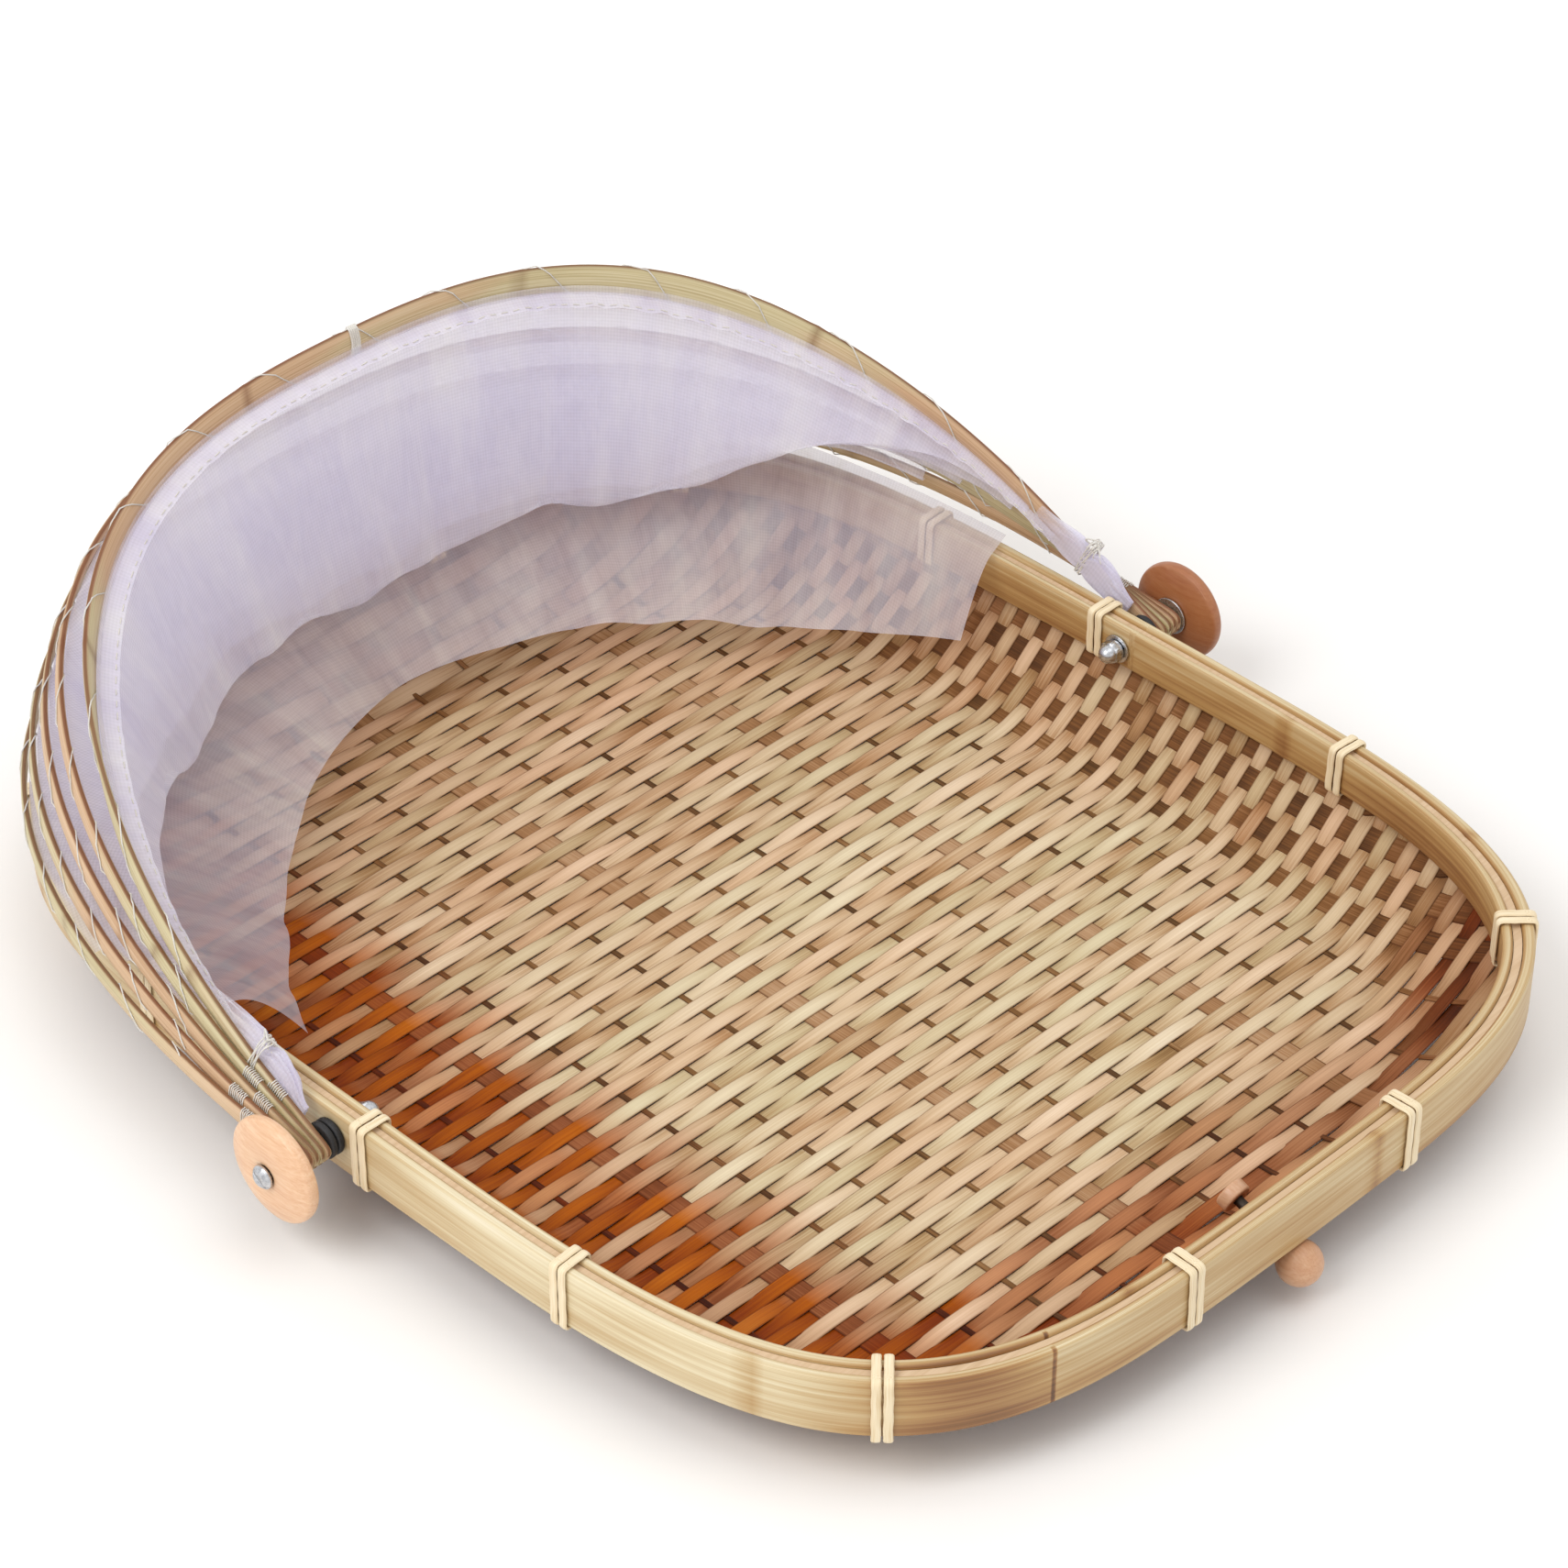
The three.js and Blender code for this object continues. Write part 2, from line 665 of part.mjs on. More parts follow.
// One turn of a tie round both rim bands, through the weave below the inner one.
function tieTurn(angle, offset, turnWidth, grow) {
  const spacing = (2 * Math.PI) / rimStations;
  const station = Math.floor(radians(angle) / spacing);
  const share = radians(angle) / spacing - station;
  const a = station * spacing;
  const b = a + spacing;
  const outer = rimPoint(0, a, 0).lerp(rimPoint(0, b, 0), share);
  const along = rimPoint(0, b, 0).sub(rimPoint(0, a, 0)).normalize();
  const inward = new THREE.Vector3(-along.y, along.x, 0);
  const inner = rimPoint(rimInset, a, 0).lerp(rimPoint(rimInset, b, 0), share);
  const depth = inner.sub(outer).dot(inward);
  const stretch = depth / rimInset;
  const bandInside = bandThickness * stretch;
  const innerBandOutside = innerBandInset * stretch - 2 * seatGap;
  const near = seatGap - grow;
  const thick = tieThickness + 2 * grow;
  const far = near + thick;
  const low = trayDepth - bandHeight;
  const lowInner = trayDepth - innerBandHeight;
  const corner = thick / 2;
  const shape = new THREE.Shape([
    new THREE.Vector2(corner - far, trayDepth + far),
    new THREE.Vector2(-far, trayDepth + far - corner),
    new THREE.Vector2(-far, low - far + corner),
    new THREE.Vector2(corner - far, low - far),
    new THREE.Vector2(bandInside + far, low - far),
    new THREE.Vector2(innerBandOutside + far, lowInner - far),
    new THREE.Vector2(depth + far, lowInner - far),
    new THREE.Vector2(depth + far, trayDepth + far - corner),
    new THREE.Vector2(depth + far - corner, trayDepth + far),
  ]);
  const hole = new THREE.Path([
    new THREE.Vector2(-near, trayDepth + near),
    new THREE.Vector2(depth + near, trayDepth + near),
    new THREE.Vector2(depth + near, lowInner - near),
    new THREE.Vector2(innerBandOutside + near, lowInner - near),
    new THREE.Vector2(bandInside + near, low - near),
    new THREE.Vector2(-near, low - near),
  ]);
  shape.holes.push(hole);
  const width = turnWidth + 2 * grow;
  const turn = new THREE.ExtrudeGeometry(shape, { depth: width, bevelEnabled: false });
  turn.applyMatrix4(new THREE.Matrix4().makeBasis(inward, new THREE.Vector3(0, 0, 1), along));
  const middle = along.multiplyScalar(offset - width / 2);
  turn.translate(outer.x + middle.x, outer.y + middle.y, 0);
  return turn;
}

// A tie: two turns side by side on a thinner web that stands for the knot between them.
function tie(angle) {
  const offset = (tieTurnWidth + tieTurnGap) / 2;
  return join([
    tieTurn(angle, -offset, tieTurnWidth, 0),
    tieTurn(angle, offset, tieTurnWidth, 0),
    tieTurn(angle, 0, 2 * tieTurnWidth, -tieThickness / 3),
  ]);
}

function tieSlot(angle) {
  return tieTurn(angle, 0, 2 * tieTurnWidth + tieTurnGap, seatGap);
}

// Round pieces on the latch peg: a profile of [radius, distance outwards from the bead's middle].
function onPeg(profile) {
  const points = profile.map(([radius, out]) => new THREE.Vector2(radius, out));
  const round = new THREE.LatheGeometry(points, turningSegments);
  round.rotateX(Math.PI + radians(pegTilt));
  round.translate(0, beadInset - halfLength, trayDepth - beadDrop);
  return closed(round);
}

function latchBead() {
  const profile = [];
  const flat = beadRadius * beadFlatShare;
  for (let step = 0; step <= turningSegments / 2; step += 1) {
    const turn = (Math.PI * 2 * step) / turningSegments;
    profile.push([beadRadius * Math.sin(turn), Math.max(-flat, -beadRadius * Math.cos(turn))]);
  }
  const bore = pegRadius + seatGap;
  const hole = onPeg([[0, -2 * beadRadius], [bore, -2 * beadRadius], [bore, 0], [0, 0]]);
  return cut(onPeg(profile), [hole]);
}

function latchPeg() {
  const start = -pegInnerLength;
  const end = -2 * seatGap;
  return onPeg([[0, start], [pegRadius, start], [pegRadius, end], [0, end]]);
}

function latchCollar() {
  const start = -pegInnerLength - collarRecess;
  const bore = pegRadius + seatGap;
  const end = start + collarLength;
  return onPeg([
    [bore, start], [collarRadius, start], [collarRadius, end], [bore, end], [bore, start],
  ]);
}

function pegHole() {
  const radius = pegRadius + seatGap;
  const end = -beadRadius * beadFlatShare;
  return onPeg([[0, -pegInnerLength], [radius, -pegInnerLength], [radius, end], [0, end]]);
}

// A string over the front rib's outer face and down its edges, with its knot on top.
function stringKnot() {
  const angle = ribAngle(0);
  const top = hoopPoint(0, knotShare, 0, 0, angle);
  const outward = top.clone().sub(hoopPoint(0, knotShare, ribThickness, 0, angle)).normalize();
  const sideways = hoopPoint(0, knotShare, 0, ribThickness, angle).sub(top).normalize();
  const along = sideways.clone().cross(outward);
  const inside = frontRibWidth / 2 + seatGap;
  const outside = inside + knotThickness;
  const roof = ribThickness / 2 + seatGap;
  const clip = new THREE.Shape([
    new THREE.Vector2(-outside, -ribThickness / 2),
    new THREE.Vector2(-inside, -ribThickness / 2),
    new THREE.Vector2(-inside, roof),
    new THREE.Vector2(inside, roof),
    new THREE.Vector2(inside, -ribThickness / 2),
    new THREE.Vector2(outside, -ribThickness / 2),
    new THREE.Vector2(outside, roof + knotThickness),
    new THREE.Vector2(-outside, roof + knotThickness),
  ]);
  const loop = new THREE.ExtrudeGeometry(clip, { depth: knotWidth, bevelEnabled: false });
  loop.translate(0, 0, -knotWidth / 2);
  const head = new THREE.SphereGeometry(knotHeadRadius, 10, 6);
  head.translate(0, roof + knotHeadRadius, 0);
  const knot = join([loop, head]);
  knot.applyMatrix4(new THREE.Matrix4().makeBasis(sideways, outward, along));
  knot.translate(top.x, top.y, top.z);
  return knot;
}

function buildTray() {
  const holes = [hingeHole(-1), hingeHole(1)];
  const outerBand = rimBand(0, bandThickness, trayDepth - bandHeight, trayDepth);
  const innerBand = rimBand(innerBandInset, innerBandThickness, trayDepth - innerBandHeight, trayDepth);
  const weave = cut(trayWeave(), [...tieAngles.map(tieSlot), ...holes, pegHole(), overWeave()]);
  addPiece("tray_weave", weave, colours.weave);
  addPiece("rim_outer_band", cut(outerBand, holes), colours.strip);
  addPiece("rim_inner_band", cut(innerBand, holes), colours.strip);
  tieAngles.forEach((angle, i) => addPiece(`rim_tie_${i + 1}`, tie(angle), colours.tie));
}

function buildLatch() {
  addPiece("latch_bead", latchBead(), colours.wood);
  addPiece("latch_peg", latchPeg(), colours.steel);
  addPiece("latch_collar", latchCollar(), colours.wood);
}

function buildPivot(side, place) {
  const bore = boltRadius + seatGap;
  for (let ring = 0; ring < rubberCount; ring += 1) {
    const from = innerRubber + ring * rubberPitch;
    const rubber = hingeRing(bore, rubberRadius, from, rubberThickness, side);
    addPiece(`rubber_ring_${place}_${ring + 1}`, rubber, colours.rubber);
  }
  const knobWasher = hingeRing(bore, washerRadius, outerWasher, washerThickness, side);
  const nutWasher = hingeRing(bore, nutWasherRadius, nutFace + seatGap, washerThickness, side);
  addPiece(`pivot_bolt_${place}`, pivotBolt(side), colours.steel);
  addPiece(`cap_nut_${place}`, capNut(side), colours.steel);
  addPiece(`knob_washer_${place}`, knobWasher, colours.steel);
  addPiece(`nut_washer_${place}`, nutWasher, colours.steel);
  addPiece(`knob_${place}`, knob(side), colours.wood);
}

function buildHood() {
  const ribNames = ["front", "second", "third", "fourth", "rear"];
  for (let rib = 0; rib < ribCount; rib += 1) {
    addPiece(`hood_rib_${ribNames[rib]}`, hoodRib(rib), colours.rib);
  }
  for (let panel = 0; panel + 1 < ribCount; panel += 1) {
    addPiece(`gauze_panel_${panel + 1}`, gauzePanel(panel), colours.gauze);
  }
  addPiece("gauze_rear_curtain", gauzeCurtain(), colours.gauze);
  addPiece("gauze_tail_left", gauzeTail(-1), colours.gauze);
  addPiece("gauze_tail_right", gauzeTail(1), colours.gauze);
  addPiece("string_knot", stringKnot(), colours.thread);
}

buildTray();
buildLatch();
buildPivot(-1, "left");
buildPivot(1, "right");
buildHood();

export default basket;
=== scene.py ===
import math

import bmesh
import bpy
import numpy as np
from mathutils import Matrix, Vector


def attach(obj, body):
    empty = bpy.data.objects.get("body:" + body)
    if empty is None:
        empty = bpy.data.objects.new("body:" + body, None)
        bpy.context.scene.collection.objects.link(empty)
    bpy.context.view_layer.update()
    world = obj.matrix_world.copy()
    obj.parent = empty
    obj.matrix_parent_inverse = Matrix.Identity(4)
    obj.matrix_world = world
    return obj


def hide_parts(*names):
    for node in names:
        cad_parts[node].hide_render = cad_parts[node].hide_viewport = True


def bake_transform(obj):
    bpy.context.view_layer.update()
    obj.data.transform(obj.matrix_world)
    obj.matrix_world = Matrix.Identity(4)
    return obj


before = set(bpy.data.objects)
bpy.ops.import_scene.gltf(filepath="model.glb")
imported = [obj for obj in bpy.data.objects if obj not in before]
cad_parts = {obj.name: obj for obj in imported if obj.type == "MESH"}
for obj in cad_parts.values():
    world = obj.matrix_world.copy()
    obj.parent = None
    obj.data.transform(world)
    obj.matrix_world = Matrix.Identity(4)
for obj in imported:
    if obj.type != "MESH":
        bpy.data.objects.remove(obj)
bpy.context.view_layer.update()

MM = 0.001

# The view: a long lens at the photograph's angle, from the basket's front left corner and above,
# in even studio light. Two lamps add a soft key light and light from over the top.
camera_turn = math.radians(-45.448)
camera_rise = math.radians(37.581)
camera_roll = math.radians(0.5)
camera_distance = 1422.8 * MM
camera_target = Vector((14.75, 9.25, 50.04)) * MM
lens_length = 113.9
camera_back = Vector((
    math.sin(camera_turn) * math.cos(camera_rise),
    -math.cos(camera_turn) * math.cos(camera_rise),
    math.sin(camera_rise),
))
camera_right = Vector((math.cos(camera_turn), math.sin(camera_turn), 0))
camera_up = camera_back.cross(camera_right)
lens = bpy.data.cameras.new("long_lens")
lens.sensor_width = 36
lens.lens = lens_length
camera = bpy.data.objects.new("camera", lens)
facing = Matrix((camera_right, camera_up, camera_back)).transposed().to_4x4()
camera.matrix_world = (
    Matrix.Translation(camera_target + camera_distance * camera_back)
    @ facing @ Matrix.Rotation(camera_roll, 4, "Z")
)
bpy.context.collection.objects.link(camera)
bpy.context.scene.camera = camera
bpy.context.scene.view_settings.view_transform = "Standard"


def linear(colour):
    """An sRGB hex colour as linear red, green, blue and alpha."""
    values = [int(colour[i:i + 2], 16) / 255 for i in (1, 3, 5)]
    return [v / 12.92 if v <= 0.04045 else ((v + 0.055) / 1.055) ** 2.4 for v in values] + [1]


def add(tree, kind, inputs, **settings):
    """A node with its settings and a ramp's stops; an input is a value, or a socket or node to link."""
    node = tree.nodes.new("ShaderNode" + kind)
    stops = settings.pop("stops", [])
    for name, value in settings.items():
        setattr(node, name, value)
    for number, (place, colour) in enumerate(stops):
        ends = node.color_ramp.elements
        stop = ends[-1] if number == len(stops) - 1 else ends[0] if number == 0 else ends.new(place)
        stop.position = place
        stop.color = linear(colour)
    for name, value in inputs.items():
        if isinstance(value, bpy.types.Node):
            value = value.outputs[0]
        if isinstance(value, bpy.types.NodeSocket):
            tree.links.new(value, node.inputs[name])
        else:
            node.inputs[name].default_value = value
    return node


def new_finish(name):
    """A material without nodes, and its node tree."""
    finish = bpy.data.materials.new(name)
    finish.use_nodes = True
    finish.node_tree.nodes.clear()
    return finish, finish.node_tree


# The sky lights the basket a little below full strength, so that its pale pieces keep their colour,
# and shows as white to the camera and in reflections.
sky = bpy.data.worlds.new("studio_light")
sky.use_nodes = True
sky.node_tree.nodes.clear()
sky_level = 0.77
ray = add(sky.node_tree, "LightPath", {})
seen = add(sky.node_tree, "Math", {
    0: ray.outputs["Is Camera Ray"], 1: ray.outputs["Is Glossy Ray"],
}, operation="MAXIMUM")
plain = add(sky.node_tree, "Background", {"Color": linear("#FFFDFB"), "Strength": sky_level})
white = add(sky.node_tree, "Background", {"Color": linear("#FFFFFF"), "Strength": 1})
chosen = add(sky.node_tree, "MixShader", {"Fac": seen, 1: plain, 2: white})
add(sky.node_tree, "OutputWorld", {"Surface": chosen})
bpy.context.scene.world = sky

# A lamp of this level adds that share of a colour's written brightness at its distance.
for name, level, distance, size, turn, rise in (
    ("key_softbox", 0.36, 2.2, 1.2, -96, 50),
    ("top_softbox", 0.16, 2.2, 1.6, 20, 76),
):
    lamp = bpy.data.lights.new(name, "AREA")
    lamp.shape = "DISK"
    lamp.size = size
    lamp.energy = level * math.pi ** 2 * distance ** 2
    holder = bpy.data.objects.new(name, lamp)
    turn, rise = math.radians(turn), math.radians(rise)
    towards = Vector((
        math.sin(turn) * math.cos(rise), -math.cos(turn) * math.cos(rise), math.sin(rise),
    ))
    holder.location = towards * distance
    holder.rotation_euler = towards.to_track_quat("Z", "Y").to_euler()
    bpy.context.collection.objects.link(holder)

# The sweep: matt white paper, which keeps the basket's shadow and brightens, for the camera alone,
# to the page's white away from it.
paper_reach = 4
paper_drop = 0.2 * MM
shadow_reach = 0.2
white_reach = 0.42
white_lift = 0.16
paper_mesh = bpy.data.meshes.new("paper_sweep")
paper_corners = ((-1, -1), (1, -1), (1, 1), (-1, 1))
paper_mesh.from_pydata(
    [(x * paper_reach, y * paper_reach, -paper_drop) for x, y in paper_corners], [], [(0, 1, 2, 3)],
)
paper = bpy.data.objects.new("paper_sweep", paper_mesh)
bpy.context.collection.objects.link(paper)
paper_finish, tree = new_finish("matt_paper")
ray = add(tree, "LightPath", {})
pulp = add(tree, "TexNoise", {"Scale": 1 / (6 * MM), "Detail": 3})
shade = add(tree, "ValToRGB", {"Fac": pulp}, stops=[(0, "#F7F6F5"), (1, "#FCFBFA")])
sheet = add(tree, "BsdfPrincipled", {"Base Color": shade, "Roughness": 0.95})
spot = add(tree, "TexCoord", {})
reach = add(tree, "VectorMath", {0: spot.outputs["Object"]}, operation="LENGTH")
clear = add(tree, "MapRange", {
    "Value": reach.outputs["Value"], "From Min": shadow_reach, "From Max": white_reach,
    "To Max": white_lift,
})
lift = add(tree, "Emission", {"Strength": clear})
both = add(tree, "AddShader", {0: sheet, 1: lift})
shown = add(tree, "MixShader", {"Fac": ray.outputs["Is Camera Ray"], 1: sheet, 2: both})
add(tree, "OutputMaterial", {"Surface": shown})
paper_mesh.materials.append(paper_finish)

# The woven tray: split-bamboo strips about 5 mm wide run close together from side to side, over
# and under fewer strips from front to back, narrow ones and some broad. All are bent up into a low
# wall and held between the rim's bands.
tray_width = 324
tray_length = 400
tray_depth = 38
outline_power = 3.9
band_thickness = 3
inner_band_height = 14
seat_gap = 0.3
weave_thickness = 1.8
weave_top_drop = 1
wall_bend_drop = 1.5
wall_run = 32
wall_power = 1.6
half_width = tray_width / 2
half_length = tray_length / 2
weave_inset = band_thickness + seat_gap
wall_top = tray_depth - inner_band_height - wall_bend_drop
strip_top_drop = 0.4
strip_top = tray_depth - weave_top_drop - strip_top_drop
base_inset = weave_inset + wall_run
cross_strip_thickness = 0.42
long_strip_thickness = 0.34
# A cross strip rises and dips by the lift; the greater the hold, the flatter it lies on each float.
weave_lift = 0.39
weave_hold = 1.3
strip_fill = 1.08
widest_strip = 7.6
middle_lift = weave_thickness / 2
cross_step = 2.4
long_step = 3.4


def wall_height(inset):
    """How high the wall stands a distance in from the rim's outline."""
    share = np.clip((inset - weave_inset) / wall_run, 0, 1)
    return wall_top * (1 - share) ** wall_power


def inset_at(u, v, half_u, half_v):
    """How far inside the rim's outline a place lies, measured along the outline's half axes."""
    low = np.zeros_like(u)
    high = np.full_like(u, base_inset + 2)
    for _ in range(32):
        middle = (low + high) / 2
        outside = np.abs(u / (half_u - middle)) ** outline_power
        outside += np.abs(v / (half_v - middle)) ** outline_power
        low = np.where(outside > 1, low, middle)
        high = np.where(outside > 1, middle, high)
    return (low + high) / 2


def rows_of(*parts):
    """Points or values from their parts, with a single value repeated in each row."""
    return np.stack(np.broadcast_arrays(*parts), -1)


def run_length(path):
    """How far along a path each of its points lies."""
    return np.concatenate([[0], np.cumsum(np.linalg.norm(np.diff(path, axis=0), axis=1))])


def unit(rows, least=0):
    """Vectors brought to length one."""
    return rows / np.maximum(np.linalg.norm(rows, axis=-1, keepdims=True), least)


def smoothed(values, passes):
    """Softens a row of points, with its ends kept."""
    for _ in range(passes):
        inside = (values[:-2] + 2 * values[1:-1] + values[2:]) / 4
        values = np.concatenate([values[:1], inside, values[-1:]])
    return values


def strip_line(place, half_u, half_v, step):
    """A strip's path in (along, across, up), its normal, its sideways direction and its run."""
    share = abs(place) / (half_v - weave_inset)
    end = (half_u - weave_inset) * (1 - share ** outline_power) ** (1 / outline_power)
    run = np.linspace(-end, end, 801)
    across = np.full_like(run, place)
    height = wall_height(inset_at(run, across, half_u, half_v))
    probe = 0.4
    slope_u = np.gradient(height, run)
    beside = [wall_height(inset_at(run, across + d, half_u, half_v)) for d in (-probe, probe)]
    slope_v = (beside[1] - beside[0]) / (2 * probe)
    normal = unit(rows_of(-slope_u, -slope_v, 1))
    rise = np.linspace(strip_top, height[0], 9)[:-1]
    wall_u = (end / (half_u - weave_inset)) ** (outline_power - 1) / (half_u - weave_inset)
    wall_v = np.sign(place) * share ** (outline_power - 1) / (half_v - weave_inset)
    left, right = (unit(np.tile([turned * wall_u, -wall_v, 0], (len(rise), 1))) for turned in (1, -1))
    path = np.concatenate([
        rows_of(-end, place, rise), rows_of(run, across, height), rows_of(end, place, rise[::-1]),
    ])
    normal = np.concatenate([left, normal, right])
    length = run_length(path)
    at = np.linspace(0, length[-1], max(int(length[-1] / step), 8) + 1)
    path, normal = (
        smoothed(np.stack([np.interp(at, length, rows[:, k]) for k in range(3)], 1), passes)
        for rows, passes in ((path, 2), (normal, 3))
    )
    along = unit(np.gradient(path, axis=0))
    normal = unit(normal - (normal * along).sum(1)[:, None] * along)
    return path, normal, np.cross(normal, along), at


def solid_of(rings, loop=False):
    """Points and faces of a closed solid through rings of points."""
    stations, sides = rings.shape[:2]
    i = np.arange(stations if loop else stations - 1)[:, None]
    j = np.arange(sides)[None, :]
    here, ahead = i * sides, (i + 1) % stations * sides
    beside = (j + 1) % sides
    faces = np.stack([here + j, here + beside, ahead + beside, ahead + j], -1).reshape(-1, 4).tolist()
    if not loop:
        faces += [list(range(sides)), list(range((stations - 1) * sides, stations * sides))]
    return rings.reshape(-1, 3), faces


def make_piece(name, solids, finish, sharp=40, closed=True):
    """One object of several solids: each is (points in mm, faces, {attribute: values})."""
    points, faces, marks, count = [], [], {}, 0
    for places, sides, values in solids:
        faces += [[k + count for k in side] for side in sides]
        points.append(places)
        for mark, row in values.items():
            marks.setdefault(mark, []).append(row)
        count += len(places)
    mesh = bpy.data.meshes.new(name)
    mesh.from_pydata((np.concatenate(points) * MM).tolist(), [], faces)
    for mark, rows in marks.items():
        row = np.concatenate(rows).astype(np.float32)
        kind, field = ("FLOAT_VECTOR", "vector") if row.ndim == 2 else ("FLOAT", "value")
        mesh.attributes.new(mark, kind, "POINT").data.foreach_set(field, row.ravel())
    if closed:
        shell = bmesh.new()
        shell.from_mesh(mesh)
        bmesh.ops.recalc_face_normals(shell, faces=shell.faces)
        shell.to_mesh(mesh)
        shell.free()
    mesh.shade_smooth()
    mesh.set_sharp_from_angle(angle=math.radians(sharp))
    mesh.materials.append(finish)
    piece = bpy.data.objects.new(name, mesh)
    bpy.context.collection.objects.link(piece)
    return piece


# Split bamboo, planed and clear sealed. The eye sees straw, tan and pinkish brown strips with fine
# fibres along them, painted shade at their edges, a deep orange brown painted shade along the left
# and front walls, and a browner tone on the right wall and towards the rear.
woven_finish, tree = new_finish("split_bamboo_planed_and_sealed")
tone = add(tree, "Attribute", {}, attribute_name="tone")
shade_and_brown_share = add(tree, "Attribute", {}, attribute_name="shade_and_brown_share")
grain = add(tree, "Attribute", {}, attribute_name="grain")
fibre_length, fibre_width = 45, 0.45
fibre_space = add(tree, "Mapping", {
    "Vector": grain.outputs["Vector"], "Scale": (1 / fibre_length, 1 / fibre_width, 1),
})
fibres = add(tree, "TexNoise", {"Vector": fibre_space, "Scale": 1, "Detail": 4, "Roughness": 0.6})
spread = add(tree, "Math", {0: fibres, 1: 0.5, 2: -0.25}, operation="MULTIPLY_ADD")
shade = add(tree, "Math", {0: tone.outputs["Fac"], 1: spread}, operation="ADD", use_clamp=True)
straw = add(tree, "ValToRGB", {"Fac": shade}, stops=[
    (0, "#5A4026"), (0.16, "#84603A"), (0.34, "#B4926A"), (0.55, "#D6C2A2"), (0.8, "#E8DAC0"),
    (1, "#F6EEDC"),
])
# Painted shade: the deep orange brown of the left and front walls; the same ramp gives the browner right
# wall, rear and broad strips.
shade_and_brown_ramp = add(tree, "ValToRGB", {"Fac": shade}, stops=[
    (0, "#3C1402"), (0.35, "#7C3003"), (0.7, "#B05B0A"), (1, "#CE7E20"),
])
tint = add(tree, "Attribute", {}, attribute_name="tint")
hue = add(tree, "ValToRGB", {"Fac": tint.outputs["Fac"]}, stops=[
    (0, "#FFE2D2"), (0.35, "#FFF4EA"), (0.65, "#FCFBEE"), (1, "#EAECD4"),
])
tinted = add(tree, "MixRGB", {"Fac": 0.6, "Color1": straw, "Color2": hue}, blend_type="MULTIPLY")
shaded_and_browned = add(tree, "MixRGB", {"Fac": shade_and_brown_share.outputs["Fac"], "Color1": tinted, "Color2": shade_and_brown_ramp})
# Painted shade: each strip darkens towards its edges and underside, where it meets and passes under its
# neighbours.
edge = add(tree, "Attribute", {}, attribute_name="edge")
strip_colour = add(tree, "MixRGB", {
    "Fac": edge.outputs["Fac"], "Color1": shaded_and_browned, "Color2": linear("#8F6A44"),
}, blend_type="MULTIPLY")
gloss = add(tree, "MapRange", {"Value": fibres, "To Min": 0.4, "To Max": 0.62})
ridges = add(tree, "Bump", {"Height": fibres, "Strength": 0.5, "Distance": 0.12 * MM})
skin = add(tree, "BsdfPrincipled", {
    "Base Color": strip_colour, "Roughness": gloss, "Normal": ridges, "IOR": 1.45,
    "Specular IOR Level": 0.12,
})
add(tree, "OutputMaterial", {"Surface": skin})

# Where the strips lie, as distances along the bent surface from the tray's middle.
wall_insets = np.linspace(base_inset, weave_inset, 200)
wall_arcs = run_length(rows_of(wall_insets, wall_height(wall_insets)))


def places_of(half, base_pitch, base_count, wall_pitches):
    """Offsets from the middle line of the strips on the base and up both walls."""
    base = [(k + 0.5) * base_pitch for k in range(base_count)]
    arcs = np.cumsum(wall_pitches)
    walls = [half - np.interp(arc, wall_arcs, wall_insets) for arc in arcs]
    side = np.array(base + walls)
    return np.concatenate([-side[::-1], side])


cross_pitch = 4.7
long_pitch = 21
cross_places = places_of(half_length, cross_pitch, 35, [3.6, 6.2, 6.6, 6.8, 6.8, 6.6])
long_places = places_of(half_width, long_pitch, 6, [4.5, 11, 11.5, 9])
# Every fourth of the base's long strips is broad and brown, and the others are narrow and dark.
narrow, broad = 1.9, 7.6
base_widths = [narrow, broad, narrow, narrow]
long_widths = np.array([8, 8, 8, 7.5] + base_widths * 3 + [7.5, 8, 8, 8])
strip_profile = np.array([
    [-1, 0.1], [-0.82, 0.9], [0, 1], [0.82, 0.9], [1, 0.1], [0.9, -0.9], [-0.9, -0.9],
])
# The painted shade at each point of a strip's section: dark on the sides and underside, none on the crown.
painted_edge_shade = np.array([0.9, 0.12, 0, 0.12, 0.9, 0.9, 0.9])
draw = np.random.default_rng(11)


def strip_solid(line, width, thickness, offset, swap, marks):
    """A strip on its line; swap turns the long strips' axes back to the tray's own."""
    path, normal, side, at = line
    centre = path + normal * (middle_lift + offset)[:, None]
    rings = (
        centre[:, None, :]
        + side[:, None, :] * (strip_profile[None, :, :1] * width[:, None, None] / 2)
        + normal[:, None, :] * (strip_profile[None, :, 1:] * thickness / 2)
    )
    if swap:
        rings = rings[:, :, [1, 0, 2]]
    points, faces = solid_of(rings)
    sides = len(strip_profile)
    grain_across = (strip_profile[None, :, 0] * width[:, None] / 2).ravel()
    number = draw.uniform(0, 900)
    values = {
        "grain": rows_of(np.repeat(at, sides) + number, grain_across, number),
        "edge": np.tile(painted_edge_shade, len(path)),
    }
    values.update({mark: np.repeat(row, sides) for mark, row in marks.items()})
    return points, faces, values


